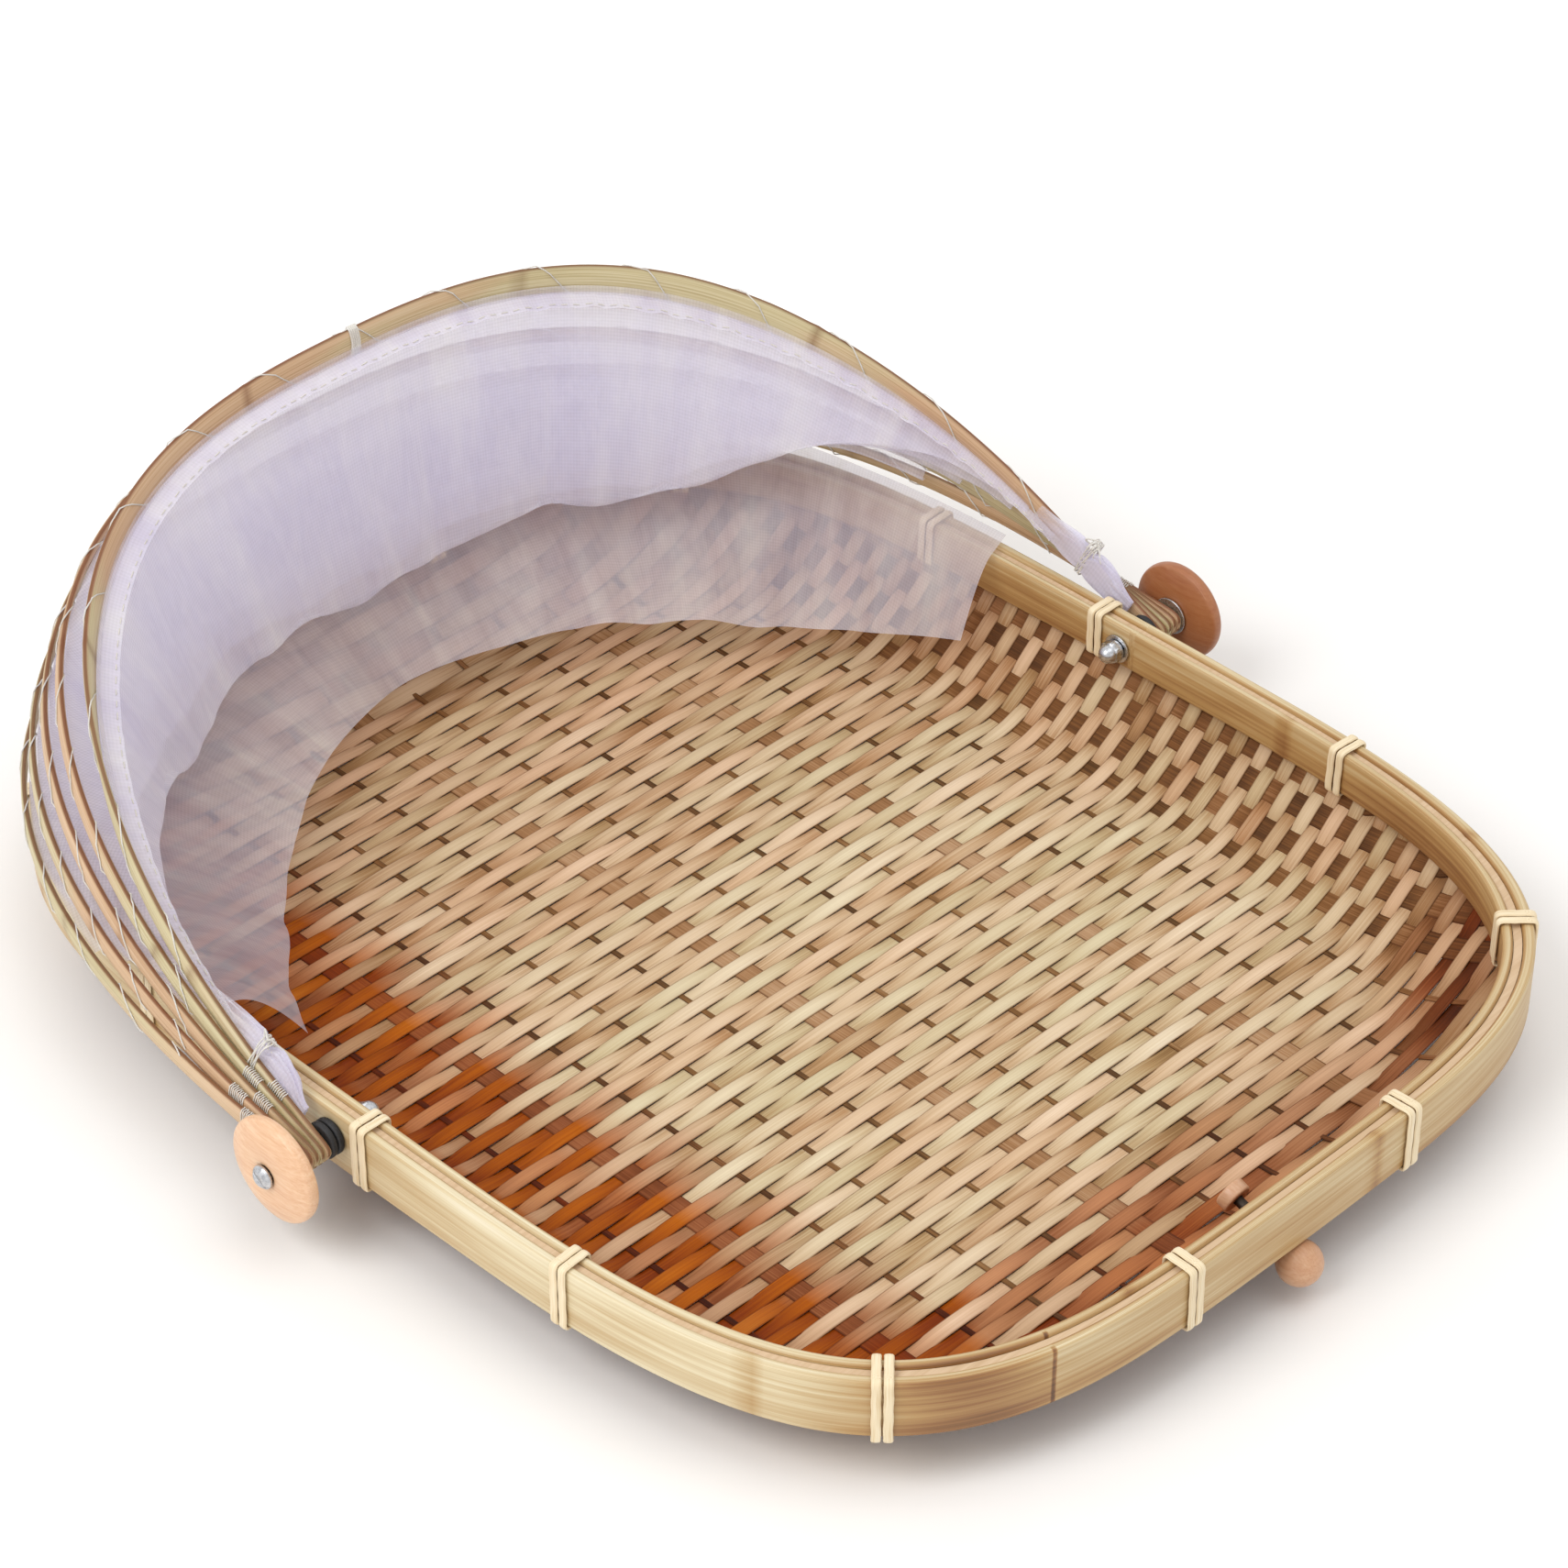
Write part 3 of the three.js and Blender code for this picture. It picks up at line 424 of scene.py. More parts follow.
def orange_shade_and_browning(number, x, y):
    """How much orange brown a strip takes: painted shade along the left wall and, less, at the front,
    and a browner tone on the right wall and towards the rear.
    """
    reach = 7 * math.sin(2.4 * number) + 4 * math.sin(5.3 * number)
    inset = inset_at(x, y, half_width, half_length)
    wall = np.clip((base_inset + 17 + reach - inset) / 14, 0, 1)
    left = np.clip((reach - x - 70) / 30, 0, 1)
    front = np.clip((reach - y - 128) / 25, 0, 1) * np.clip((190 - x) / 190, 0.5, 1)
    right = np.clip((x - 100) / 60, 0, 1)
    rear = np.clip((y - 10) / 130, 0, 1)
    return np.clip(wall * np.clip(left + 0.85 * front + 0.25 * right, 0, 1) + 0.3 * rear, 0, 1)


def wall_share(x, y):
    """How far up the wall a place lies: none on the base, all on most of the wall."""
    return np.clip((base_inset + 6 - inset_at(x, y, half_width, half_length)) / 20, 0, 1)


# Each strip has its own tone, which drifts along it and changes a little from float to float. The
# wall is darker than the base, and its long strips are darker and redder than its cross strips.
strips = []
wall_spacing = 11
cross_tone = 0.68
cross_tone_spread = 0.06
float_tone_spread = 0.08
long_tone = 0.05
long_tone_spread = 0.05
browned_tone = 0.34
browned_warmth = 0.3
longest_strip = 600
gaps = np.gradient(cross_places)
for number, place in enumerate(cross_places):
    line = strip_line(place, half_width, half_length, cross_step)
    x, y = line[0][:, 0], line[0][:, 1]
    index = np.interp(x, long_places, np.arange(len(long_places)))
    beyond = np.maximum(np.abs(x) - long_places[-1], 0)
    index = index + np.sign(x) * beyond / wall_spacing
    wave = np.cos(np.pi * (index + number))
    offset = weave_lift * np.tanh(weave_hold * wave) / math.tanh(weave_hold)
    width = np.minimum(strip_fill * gaps[number] / np.maximum(np.abs(line[2][:, 1]), 0.3), widest_strip)
    floats = np.floor((index + number + 1) / 2).astype(int)
    wall = wall_share(x, y)
    float_tones = draw.uniform(-1, 1, 60)
    patch = wall * (float_tones[floats] < -0.3) * np.clip((-y - 110) / 40, 0, 1)
    drift = 0.04 * np.sin(x / 31 + draw.uniform(0, 6)) + 0.04 * np.sin(x / 9 + draw.uniform(0, 6))
    tone = cross_tone + cross_tone_spread * draw.uniform(-1, 1) - 0.03 * (number % 2) + drift
    tone = tone + float_tone_spread * float_tones[floats]
    # Where a strip dips under its neighbours, 0.1 of painted shade darkens it.
    tone = tone - wall * (0.05 + 0.2 * np.abs(float_tones[floats])) - 0.1 * (1 - wave) - 0.12 * patch
    tint = 0.5 + 0.5 * draw.uniform(-1, 1, 60)[floats]
    # Orange brown share: painted shade on the left and front walls, a browner tone on the right wall, towards
    # the rear and on some front floats.
    shade_and_brown_share = np.clip(orange_shade_and_browning(number, x, y) + 0.45 * patch, 0, 1)
    marks = {"tone": tone, "shade_and_brown_share": shade_and_brown_share, "tint": tint}
    strips.append(strip_solid(line, width, cross_strip_thickness, offset, False, marks))
for number, place in enumerate(long_places):
    line = strip_line(place, half_length, half_width, long_step)
    x, y = line[0][:, 1], line[0][:, 0]
    wall = wall_share(x, y)
    patches = np.interp(line[3], np.arange(0, longest_strip, 2 * cross_pitch), draw.uniform(-1, 1, 64))
    browned = long_widths[number] == broad
    tone = (browned_tone if browned else long_tone) + long_tone_spread * draw.uniform(-1, 1)
    marks = {
        "tone": tone + 0.12 * patches + 0.1 * wall * (1 - browned), "tint": 0.5 - 0.45 * wall,
        "shade_and_brown_share": np.maximum(orange_shade_and_browning(number, x, y), browned_warmth if browned else 0),
    }
    width = np.full(len(x), long_widths[number])
    strips.append(strip_solid(line, width, long_strip_thickness, np.zeros(len(x)), True, marks))


def oval(turn, half_x, half_y, power):
    """The place on a squarish oval at a turn about its middle, across and along."""
    across = np.abs(np.cos(turn) / half_x) ** power
    along = np.abs(np.sin(turn) / half_y) ** power
    reach = (across + along) ** (-1 / power)
    return reach * np.cos(turn), reach * np.sin(turn)


def rim_point(inset, angle):
    """A place on the rim's outline, moved in by an inset."""
    return oval(angle, half_width - inset, half_length - inset, outline_power)


# A thin backing strip runs round behind the wall's strips and packs the slot between the bands.
backing_thickness = 0.28
backing_spare = 0.15
backing_tops = [strip_top + 0.2, 30]
backing_reaches = [0, 0, 0, 0.7, 1.7, 2.7, 3.9]
backing_turns = np.linspace(0, 2 * np.pi, 300, endpoint=False)
corner_turn = math.atan2(half_length, half_width)
cornered = np.exp(-((np.abs(np.arctan(np.abs(np.tan(backing_turns)))) - corner_turn) / 0.16) ** 2)
backing_insets = [weave_inset + reach * (1 + 1.5 * cornered) for reach in backing_reaches]
backing = []
for lift, grip, line in (
    (0.05, -backing_spare, range(7)),
    (0.05 + backing_thickness, weave_thickness + backing_spare, reversed(range(7))),
):
    for k in line:
        x, y = rim_point(backing_insets[k] + (grip if k == 0 else lift), backing_turns)
        height = backing_tops[k] if k < 2 else wall_height(backing_insets[k]) + lift * (k > 2)
        backing.append(rows_of(x, y, height))
points, faces = solid_of(np.stack(backing, 1), loop=True)
count = len(points)
strips.append((points, faces, {
    "tone": np.full(count, 0.62), "shade_and_brown_share": np.full(count, 0.1), "tint": np.full(count, 0.3),
    "edge": np.zeros(count), "grain": points[:, [0, 2, 1]],
}))
woven = make_piece("woven_strips", strips, woven_finish, sharp=50)
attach(woven, "tray")
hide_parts("tray_weave")

# The rim's two bands: shaved bamboo hoops, bent on edge and overlapped at the ends, which clamp
# the weave's edge between them with their tops level. The outer one is the thicker and deeper.
band_height = 19
inner_band_thickness = 2.6
inner_band_inset = weave_inset + weave_thickness + seat_gap
rim_inset = inner_band_inset + inner_band_thickness
# Turns round the rim, from the right side over the rear: where the outer end of a hoop's overlap is
# cut off, where the wood before it is stained, and where the rim is paler.
scarf_end = 4.27
stained_at = 4.16
pale_at = 3.65
joint_width = 0.012
joint_height = 0.35


def softened(corners, radius, steps=3):
    """A closed profile with each corner rounded by a short curve."""
    corners = np.array(corners, float)
    points = []
    for k, corner_point in enumerate(corners):
        back = corners[k - 1] - corner_point
        ahead = corners[(k + 1) % len(corners)] - corner_point
        start = corner_point + back * min(radius / np.linalg.norm(back), 0.5)
        end = corner_point + ahead * min(radius / np.linalg.norm(ahead), 0.5)
        for t in np.linspace(0, 1, steps + 1):
            points.append((1 - t) ** 2 * start + 2 * t * (1 - t) * corner_point + t * t * end)
    return np.array(points)


def slab(inner, outer, start, end, radius, steps=3):
    """A rectangular section with rounded corners."""
    return softened([(inner, start), (outer, start), (outer, end), (inner, end)], radius, steps)


def bump_at(place, middle, width):
    """One at the middle, and falling away to nothing about two widths from it."""
    return np.exp(-((place - middle) / width) ** 2)


# Shaved bamboo hoop: scraped to an olive cream skin outside and amber pith inside, with long
# streaks, a darker growth joint every so often, and a satin sheen where hands have rubbed it.
hoop_finish, tree = new_finish("shaved_bamboo_hoop_waxed")
tone = add(tree, "Attribute", {}, attribute_name="tone")
grain = add(tree, "Attribute", {}, attribute_name="grain")
streak_length, streak_width = 120, 1.3
streak_space = add(tree, "Mapping", {
    "Vector": grain.outputs["Vector"], "Scale": (1 / streak_length, 1 / streak_width, 1),
})
streaks = add(tree, "TexNoise", {"Vector": streak_space, "Scale": 1, "Detail": 5, "Roughness": 0.62})
blotch_space = add(tree, "Mapping", {"Vector": grain.outputs["Vector"], "Scale": (1 / 60, 1 / 9, 1)})
blotches = add(tree, "TexNoise", {"Vector": blotch_space, "Scale": 1, "Detail": 2})
spread = add(tree, "Math", {0: streaks, 1: 0.66, 2: -0.33}, operation="MULTIPLY_ADD")
clouds = add(tree, "Math", {0: blotches, 1: 0.5, 2: -0.25}, operation="MULTIPLY_ADD")
mottle = add(tree, "Math", {0: spread, 1: clouds}, operation="ADD")
shade = add(tree, "Math", {0: tone.outputs["Fac"], 1: mottle}, operation="ADD", use_clamp=True)
bamboo = add(tree, "ValToRGB", {"Fac": shade}, stops=[
    (0, "#5E3A18"), (0.25, "#96683A"), (0.45, "#B8925C"), (0.65, "#CEB68A"), (0.82, "#E2D3AE"),
    (1, "#F1E7CD"),
])
gloss = add(tree, "MapRange", {"Value": streaks, "To Min": 0.36, "To Max": 0.56})
ridges = add(tree, "Bump", {"Height": streaks, "Strength": 0.45, "Distance": 0.2 * MM})
skin = add(tree, "BsdfPrincipled", {
    "Base Color": bamboo, "Roughness": gloss, "Normal": ridges, "IOR": 1.5, "Coat Weight": 0.12,
    "Coat Roughness": 0.3,
})
add(tree, "OutputMaterial", {"Surface": skin})


def rim_band(inset, thickness, height, face_tone, joints, seed):
    """A hoop on edge: its section is a rounded strip, and its growth joints stand a little proud."""
    low = tray_depth - height
    cut = scarf_end + np.array([-0.004, -0.0015, 0.0015, 0.004])
    angles = np.sort(np.concatenate([np.linspace(0, 2 * np.pi, 420, endpoint=False), cut]))
    length = run_length(rows_of(*rim_point(inset, angles)))
    wave = np.sin(3 * angles + seed) + 0.6 * np.sin(7 * angles + 2 * seed) + 0.4 * np.sin(17 * angles)
    joint_swell = sum(bump_at(angles, joint, joint_width) for joint in joints)
    stain = 0.42 * bump_at(angles, stained_at, 0.13) * (angles < scarf_end)
    cut_line = 0.4 * (np.abs(angles - scarf_end) < 0.002)
    # Painted shade darkens the rim along the front and round the front right corner; the rim is also paler on
    # the left, near the front.
    painted_shade_and_pale_patch = 0.04 - 0.12 * bump_at(angles, pale_at, 0.35)
    painted_shade_and_pale_patch = painted_shade_and_pale_patch + 0.1 * (angles > scarf_end) * np.clip((6.1 - angles) / 0.6, 0, 1)
    rings, tones, grains = [], [], []
    for depth, level in slab(inset, inset + thickness, low, tray_depth, 0.9):
        edge = (level - low) / height
        inside = (depth - inset) / thickness
        proud = joint_height * joint_swell * (1 if inside > 0.6 else 0.2 if inside < 0.4 else 0)
        x, y = rim_point(depth + np.where(inside > 0.5, proud, 0), angles)
        rings.append(rows_of(x, y, level + 0.22 * wave * (1 - edge) - 0.12 * np.abs(wave) * edge))
        # Painted highlight along the middle of the band's top, and painted shade along its bottom edge.
        painted_top_highlight = 0.16 * (edge > 0.93) * (0.2 < inside < 0.8)
        dark = (stain + cut_line) * (inside < 0.4) + painted_shade_and_pale_patch + 0.22 * joint_swell + 0.12 * (edge < 0.08)
        tones.append(face_tone(inside) + painted_top_highlight - dark)
        grains.append(rows_of(length, level + 40 * inside, seed))
    points, faces = solid_of(np.stack(rings, 1), loop=True)
    return points, faces, {
        "tone": np.stack(tones, 1).ravel(), "grain": np.stack(grains, 1).reshape(-1, 3),
    }


outer_joints = [0.62, 2.35, 3.9, 4.86, 5.55]
inner_joints = [1.2, 2.9, 4.4, 5.9]
outer_band = make_piece("rim_hoop_outer", [rim_band(
    0, band_thickness, band_height,
    lambda inside: 0.72 - 0.22 * inside, outer_joints, 1.7,
)], hoop_finish)
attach(outer_band, "tray")
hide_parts("rim_outer_band")
inner_band = make_piece("rim_hoop_inner", [rim_band(
    inner_band_inset, inner_band_thickness, inner_band_height,
    lambda inside: 0.62 - 0.06 * inside, inner_joints, 4.1,
)], hoop_finish)
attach(inner_band, "tray")
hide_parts("rim_inner_band")

# The ties: strips of peeled cane, wound twice round both bands and through the weave below the
# inner one, and pulled tight so that they clamp the rim. One sits beside each hinge bolt.
tie_thickness = 1.1
tie_turn_width = 2.6
tie_turn_gap = 0.5
tie_bend = 1.5
tie_step = 1.6
tie_squeeze = 0.92
rubber_radius = 5.5
hinge_setback = 4
tie_offset = rubber_radius + tie_turn_width + tie_turn_gap / 2
right_tie = math.degrees(math.atan2(hinge_setback + tie_offset + 0.95, half_width))
left_tie = 180 - math.degrees(math.atan2(hinge_setback - tie_offset - 2.7, half_width))
tie_angles = [
    right_tie, 27.5, 52.5, 77.5, 102.5, 127.5, 152.5,
    left_tie, 207.5, 232.5, 257.5, 282.5, 307.5, 332.5,
]

# Peeled cane: the core skin is cream and a little glossy, with faint fibre lines along the strip.
cane_finish, tree = new_finish("peeled_cane_strip")
grain = add(tree, "Attribute", {}, attribute_name="grain")
fibre_space = add(tree, "Mapping", {"Vector": grain.outputs["Vector"], "Scale": (1 / 14, 1 / 0.4, 1)})
fibres = add(tree, "TexNoise", {"Vector": fibre_space, "Scale": 1, "Detail": 3})
cream = add(tree, "ValToRGB", {"Fac": fibres}, stops=[(0.25, "#D6B98A"), (0.45, "#ECD9B4"), (0.7, "#F6E8CA")])
ridges = add(tree, "Bump", {"Height": fibres, "Strength": 0.5, "Distance": 0.12 * MM})
gloss = add(tree, "MapRange", {"Value": fibres, "To Min": 0.38, "To Max": 0.55})
skin = add(tree, "BsdfPrincipled", {"Base Color": cream, "Roughness": gloss, "Normal": ridges})
add(tree, "OutputMaterial", {"Surface": skin})

cane_profile = slab(-1, 1, -1, 1, 0.9, 2)


def cane_turn(angle, offset, lean, seed):
    """One turn of cane: a closed loop round the bands in a plane across the rim."""
    step = 0.002
    outer = np.array(rim_point(0, angle))
    ahead = unit(np.array(rim_point(0, angle + step)) - np.array(rim_point(0, angle - step)))
    inward = np.array([-ahead[1], ahead[0]])
    depth = (np.array(rim_point(rim_inset, angle)) - outer) @ inward
    stretch = depth / rim_inset
    off = seat_gap + tie_thickness / 2
    low = tray_depth - band_height
    low_inner = tray_depth - inner_band_height
    path = softened([
        (-off, tray_depth + off), (-off, low - off), (band_thickness * stretch, low - off),
        (inner_band_inset * stretch, low_inner - off), (depth + off, low_inner - off),
        (depth + off, tray_depth + off),
    ], tie_bend, 4)
    fine = []
    for k, point in enumerate(path):
        ahead_point = path[(k + 1) % len(path)]
        pieces = max(int(np.linalg.norm(ahead_point - point) / tie_step), 1)
        fine += [point + (ahead_point - point) * t / pieces for t in range(pieces)]
    path = np.array(fine)
    along = unit(np.roll(path, -1, 0) - np.roll(path, 1, 0))
    out = rows_of(-along[:, 1], along[:, 0])
    middle = path.mean(0)
    out *= np.sign(((path - middle) * out).sum(1))[:, None]
    shift = offset + lean * (path[:, 1] - (low + tray_depth) / 2) / band_height
    shift = shift + 0.08 * np.sin(path[:, 1] * 0.9 + seed) + 0.05 * np.sin(path[:, 0] * 1.3 + seed)
    length = run_length(path)
    rings, grains = [], []
    for across, up in cane_profile:
        flat = path + out * (up * tie_squeeze * tie_thickness / 2)
        sideways = shift + across * tie_turn_width / 2
        x = outer[0] + flat[:, 0] * inward[0] + sideways * ahead[0]
        y = outer[1] + flat[:, 0] * inward[1] + sideways * ahead[1]
        rings.append(rows_of(x, y, flat[:, 1]))
        grains.append(rows_of(length, across * tie_turn_width / 2 + up, seed))
    points, faces = solid_of(np.stack(rings, 1), loop=True)
    return points, faces, {"grain": np.stack(grains, 1).reshape(-1, 3)}


for number, angle in enumerate(tie_angles):
    lean = draw.uniform(-0.5, 0.5)
    turns = []
    for side in (-1, 1):
        offset = side * (tie_turn_width + tie_turn_gap) / 2
        turn_lean = lean + side * draw.uniform(-0.12, 0.1)
        turns.append(cane_turn(math.radians(angle), offset, turn_lean, 3 * number + side))
    tie = make_piece(f"cane_tie_{number + 1}", turns, cane_finish)
    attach(tie, "tray")
    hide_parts(f"rim_tie_{number + 1}")

# The hinge fittings, one set a side: a slotted steel bolt through a turned wooden disc, a washer,
# the ribs' ends, two black rubber rings and the rim, closed by a washer and an acorn nut inside.
hinge_height = 30
bolt_radius = 2
bolt_head_radius = 3.6
bolt_head_height = 2.2
bolt_slot = 0.9
bolt_slot_turn = math.radians(40)
bolt_tip_room = 1.7
nut_radius = 3.8
nut_length = 6.4
washer_thickness = 0.7
washer_radius = 6
nut_washer_radius = 4.6
rubber_thickness = 2.1
knob_radius = 16
knob_thickness = 7.5
knob_edge = 2.6
knob_flat_radius = 0.62 * knob_radius
knob_bevel = 1.2
knob_bevel_rise = 0.9
bore = bolt_radius + seat_gap
rib_count = 5
rib_thickness = 1.6
rib_pitch = rib_thickness + 0.5
inner_rubber = half_width + seat_gap
rubber_pitch = rubber_thickness + seat_gap
first_rib = inner_rubber + 2 * rubber_pitch
ribs_end = first_rib + rib_count * rib_pitch - 0.5
outer_washer = ribs_end + seat_gap
knob_face = outer_washer + washer_thickness + seat_gap
knob_outer = knob_face + knob_thickness
bolt_head = knob_outer + seat_gap
nut_face = half_width - rim_inset - seat_gap - washer_thickness - seat_gap

# Turned hardwood: the discs and the latch's bead and collar are beech, sanded and lacquered clear.
# The eye sees peach wood with soft growth lines, short pale flecks and a gentle sheen.
turned_finish, tree = new_finish("turned_beech_lacquered")
place = add(tree, "TexCoord", {})
line_spacing = 1.5 * MM
ring_space = add(tree, "Mapping", {
    "Vector": place.outputs["Object"], "Rotation": (0.25, 0.3, 0.1), "Scale": (0.35, 0.08, 1),
})
ring_lines = add(tree, "TexNoise", {
    "Vector": ring_space, "Scale": 1 / line_spacing, "Detail": 3, "Roughness": 0.55, "Distortion": 0.3,
})
fleck_space = add(tree, "Mapping", {"Vector": place.outputs["Object"], "Scale": (1, 0.12, 1)})
flecks = add(tree, "TexNoise", {"Vector": fleck_space, "Scale": 1 / (0.5 * MM), "Detail": 2})
wood = add(tree, "ValToRGB", {"Fac": ring_lines}, stops=[
    (0.25, "#E0B08A"), (0.5, "#E9BF9A"), (0.75, "#EFCBA8"),
])
speck = add(tree, "ValToRGB", {"Fac": flecks}, stops=[(0.35, "#F3E6D8"), (0.6, "#FFFFFF")])
wood_colour = add(tree, "MixRGB", {"Fac": 0.6, "Color1": wood, "Color2": speck}, blend_type="MULTIPLY")
# Painted shade: the right disc, the bead and the collar are darkened towards the brown below.
heart = add(tree, "Attribute", {}, attribute_name="heart")
wood_colour = add(tree, "MixRGB", {
    "Fac": heart.outputs["Fac"], "Color1": wood_colour, "Color2": linear("#B89072"),
}, blend_type="MULTIPLY")
pores = add(tree, "Bump", {"Height": flecks, "Strength": 0.25, "Distance": 0.08 * MM})
lacquer = add(tree, "BsdfPrincipled", {
    "Base Color": wood_colour, "Roughness": 0.42, "Normal": pores, "Coat Weight": 0.25,
    "Coat Roughness": 0.2,
})
add(tree, "OutputMaterial", {"Surface": lacquer})

# Zinc plated steel: bright grey metal with fine turning marks and a little dulling.
steel_finish, tree = new_finish("zinc_plated_steel")
place = add(tree, "TexCoord", {})
dulling = add(tree, "TexNoise", {"Vector": place.outputs["Object"], "Scale": 1 / (1.2 * MM), "Detail": 3})
metal = add(tree, "ValToRGB", {"Fac": dulling}, stops=[(0.3, "#A9ABAF"), (0.7, "#D2D3D6")])
gloss = add(tree, "MapRange", {"Value": dulling, "To Min": 0.18, "To Max": 0.38})
plate = add(tree, "BsdfPrincipled", {"Base Color": metal, "Metallic": 1, "Roughness": gloss})
add(tree, "OutputMaterial", {"Surface": plate})

# Moulded rubber: matt black, with a faint bloom and a fine moulded texture.
rubber_finish, tree = new_finish("moulded_black_rubber")
place = add(tree, "TexCoord", {})
mould = add(tree, "TexNoise", {"Vector": place.outputs["Object"], "Scale": 1 / (0.5 * MM), "Detail": 4})
black = add(tree, "ValToRGB", {"Fac": mould}, stops=[(0.3, "#161617"), (0.7, "#2A2A2D")])
pits = add(tree, "Bump", {"Height": mould, "Strength": 0.4, "Distance": 0.1 * MM})
rubber = add(tree, "BsdfPrincipled", {"Base Color": black, "Roughness": 0.6, "Normal": pits})
add(tree, "OutputMaterial", {"Surface": rubber})


def turned(profile, side, loop=True, radius_at=None, segments=56):
    """A round piece on the hinge line from a profile of (radius, distance out from the middle)."""
    turn = np.linspace(0, 2 * np.pi, segments, endpoint=False)
    rings = []
    for k, (radius, out) in enumerate(profile):
        reach = radius_at(k, radius, turn) if radius_at else radius
        rings.append(rows_of(
            side * out, hinge_setback + reach * np.cos(turn), hinge_height + reach * np.sin(turn),
        ))
    points, faces = solid_of(np.array(rings), loop=loop)
    return points, faces, {}


def slotted_bolt(side, name):
    """A bolt with a rounded head, and a slot that a box cuts across the head."""
    tip = nut_face - nut_length + bolt_tip_room
    end = bolt_head + bolt_head_height
    round_over = softened([
        (0.02, tip), (bolt_radius - 0.3, tip), (bolt_radius, tip + 0.5), (bolt_radius, bolt_head),
        (bolt_head_radius, bolt_head), (bolt_head_radius, bolt_head + 0.9), (2.2, end), (0.02, end),
    ], 0.35)
    keep = [point for point in round_over if point[0] > 0.01]
    bolt = make_piece(name, [turned(keep, side, loop=False)], steel_finish, sharp=35)
    turn = Matrix.Rotation(bolt_slot_turn, 3, "X")
    cutter_points = []
    for out in (-bolt_slot, 2):
        for along in (-2 * bolt_head_radius, 2 * bolt_head_radius):
            for across in (-bolt_slot / 2, bolt_slot / 2):
                place = turn @ Vector((0, along, across))
                cutter_points.append((
                    side * (end + out), hinge_setback + place.y, hinge_height + place.z,
                ))
    cutter_faces = [(0, 1, 3, 2), (4, 6, 7, 5), (0, 4, 5, 1), (2, 3, 7, 6), (0, 2, 6, 4), (1, 5, 7, 3)]
    cutter = make_piece(f"{name}_slot_cutter", [(np.array(cutter_points), cutter_faces, {})], steel_finish)
    slot = bolt.modifiers.new("slot", "BOOLEAN")
    slot.operation = "DIFFERENCE"
    slot.object = cutter
    slot.solver = "EXACT"
    bpy.context.view_layer.objects.active = bolt
    bolt.select_set(True)
    bpy.ops.object.modifier_apply(modifier="slot")
    bolt.select_set(False)
    bpy.data.objects.remove(cutter)
    return bolt


def acorn_nut(side, name):
    """A hexagon with chamfered corners, and a dome over its closed end."""
    end = nut_face - nut_length
    shoulder = nut_face - nut_length * 0.48
    dome = [
        (nut_radius * 0.8 * math.cos(t), shoulder - (shoulder - end) * math.sin(t))
        for t in np.linspace(0, 1.5, 9)
    ]
    profile = [
        (bore, nut_face), (nut_radius * 0.88, nut_face), (nut_radius, nut_face - 0.5),
        (nut_radius, shoulder + 0.3), (nut_radius * 0.86, shoulder), *dome,
        (0.05, end), (0.05, end + 1.4), (bore, end + 1.4),
    ]

    def hexagon(k, radius, turn):
        if k not in (2, 3):
            return np.full_like(turn, radius)
        local = (turn + np.pi / 6) % (np.pi / 3) - np.pi / 6
        return radius * math.cos(math.pi / 6) / np.cos(local)

    solid = turned(profile, side, radius_at=hexagon, segments=60)
    return make_piece(name, [solid], steel_finish, sharp=28)


for side, place_name in ((-1, "left"), (1, "right")):
    middle = knob_face + knob_thickness / 2
    low, high = middle - knob_edge / 2, middle + knob_edge / 2
    bevel_radius = knob_radius - knob_bevel
    disc = softened([
        (bore, knob_face), (knob_flat_radius, knob_face), (bevel_radius, low - knob_bevel_rise),
        (knob_radius, low), (knob_radius, high), (bevel_radius, high + knob_bevel_rise),
        (knob_flat_radius, knob_outer), (bore, knob_outer),
    ], 2.2, 5)
    points, faces, marks = turned(disc, side, segments=80)
    # The right disc is darkened with painted shade.
    marks["heart"] = np.full(len(points), max(side, 0.0))
    knob = make_piece(f"turned_knob_{place_name}", [(points, faces, marks)], turned_finish, sharp=60)
    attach(knob, f"knob_{place_name}")
    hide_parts(f"knob_{place_name}")
    fittings = [
        (slotted_bolt(side, f"slotted_bolt_{place_name}"), "pivot_bolt"),
        (acorn_nut(side, f"acorn_nut_{place_name}"), "cap_nut"),
    ]
    for washer_name, node, radius, start in (
        ("outer_washer", "knob_washer", washer_radius, outer_washer),
        ("inner_washer", "nut_washer", nut_washer_radius, nut_face + seat_gap),
    ):
        section = slab(bore, radius, start, start + washer_thickness, 0.2)
        washer = make_piece(f"{washer_name}_{place_name}", [turned(section, side)], steel_finish, sharp=35)
        fittings.append((washer, node))
    for fitting, node in fittings:
        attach(fitting, "tray")
        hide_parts(f"{node}_{place_name}")
    for ring in range(2):
        start = inner_rubber + ring * rubber_pitch
        section = slab(bore, rubber_radius, start, start + rubber_thickness, 0.75, 4)
        ring_name = f"rubber_spacer_{place_name}_{ring + 1}"
        rubber_ring = make_piece(ring_name, [turned(section, side)], rubber_finish)
        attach(rubber_ring, "tray")
        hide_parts(f"rubber_ring_{place_name}_{ring + 1}")

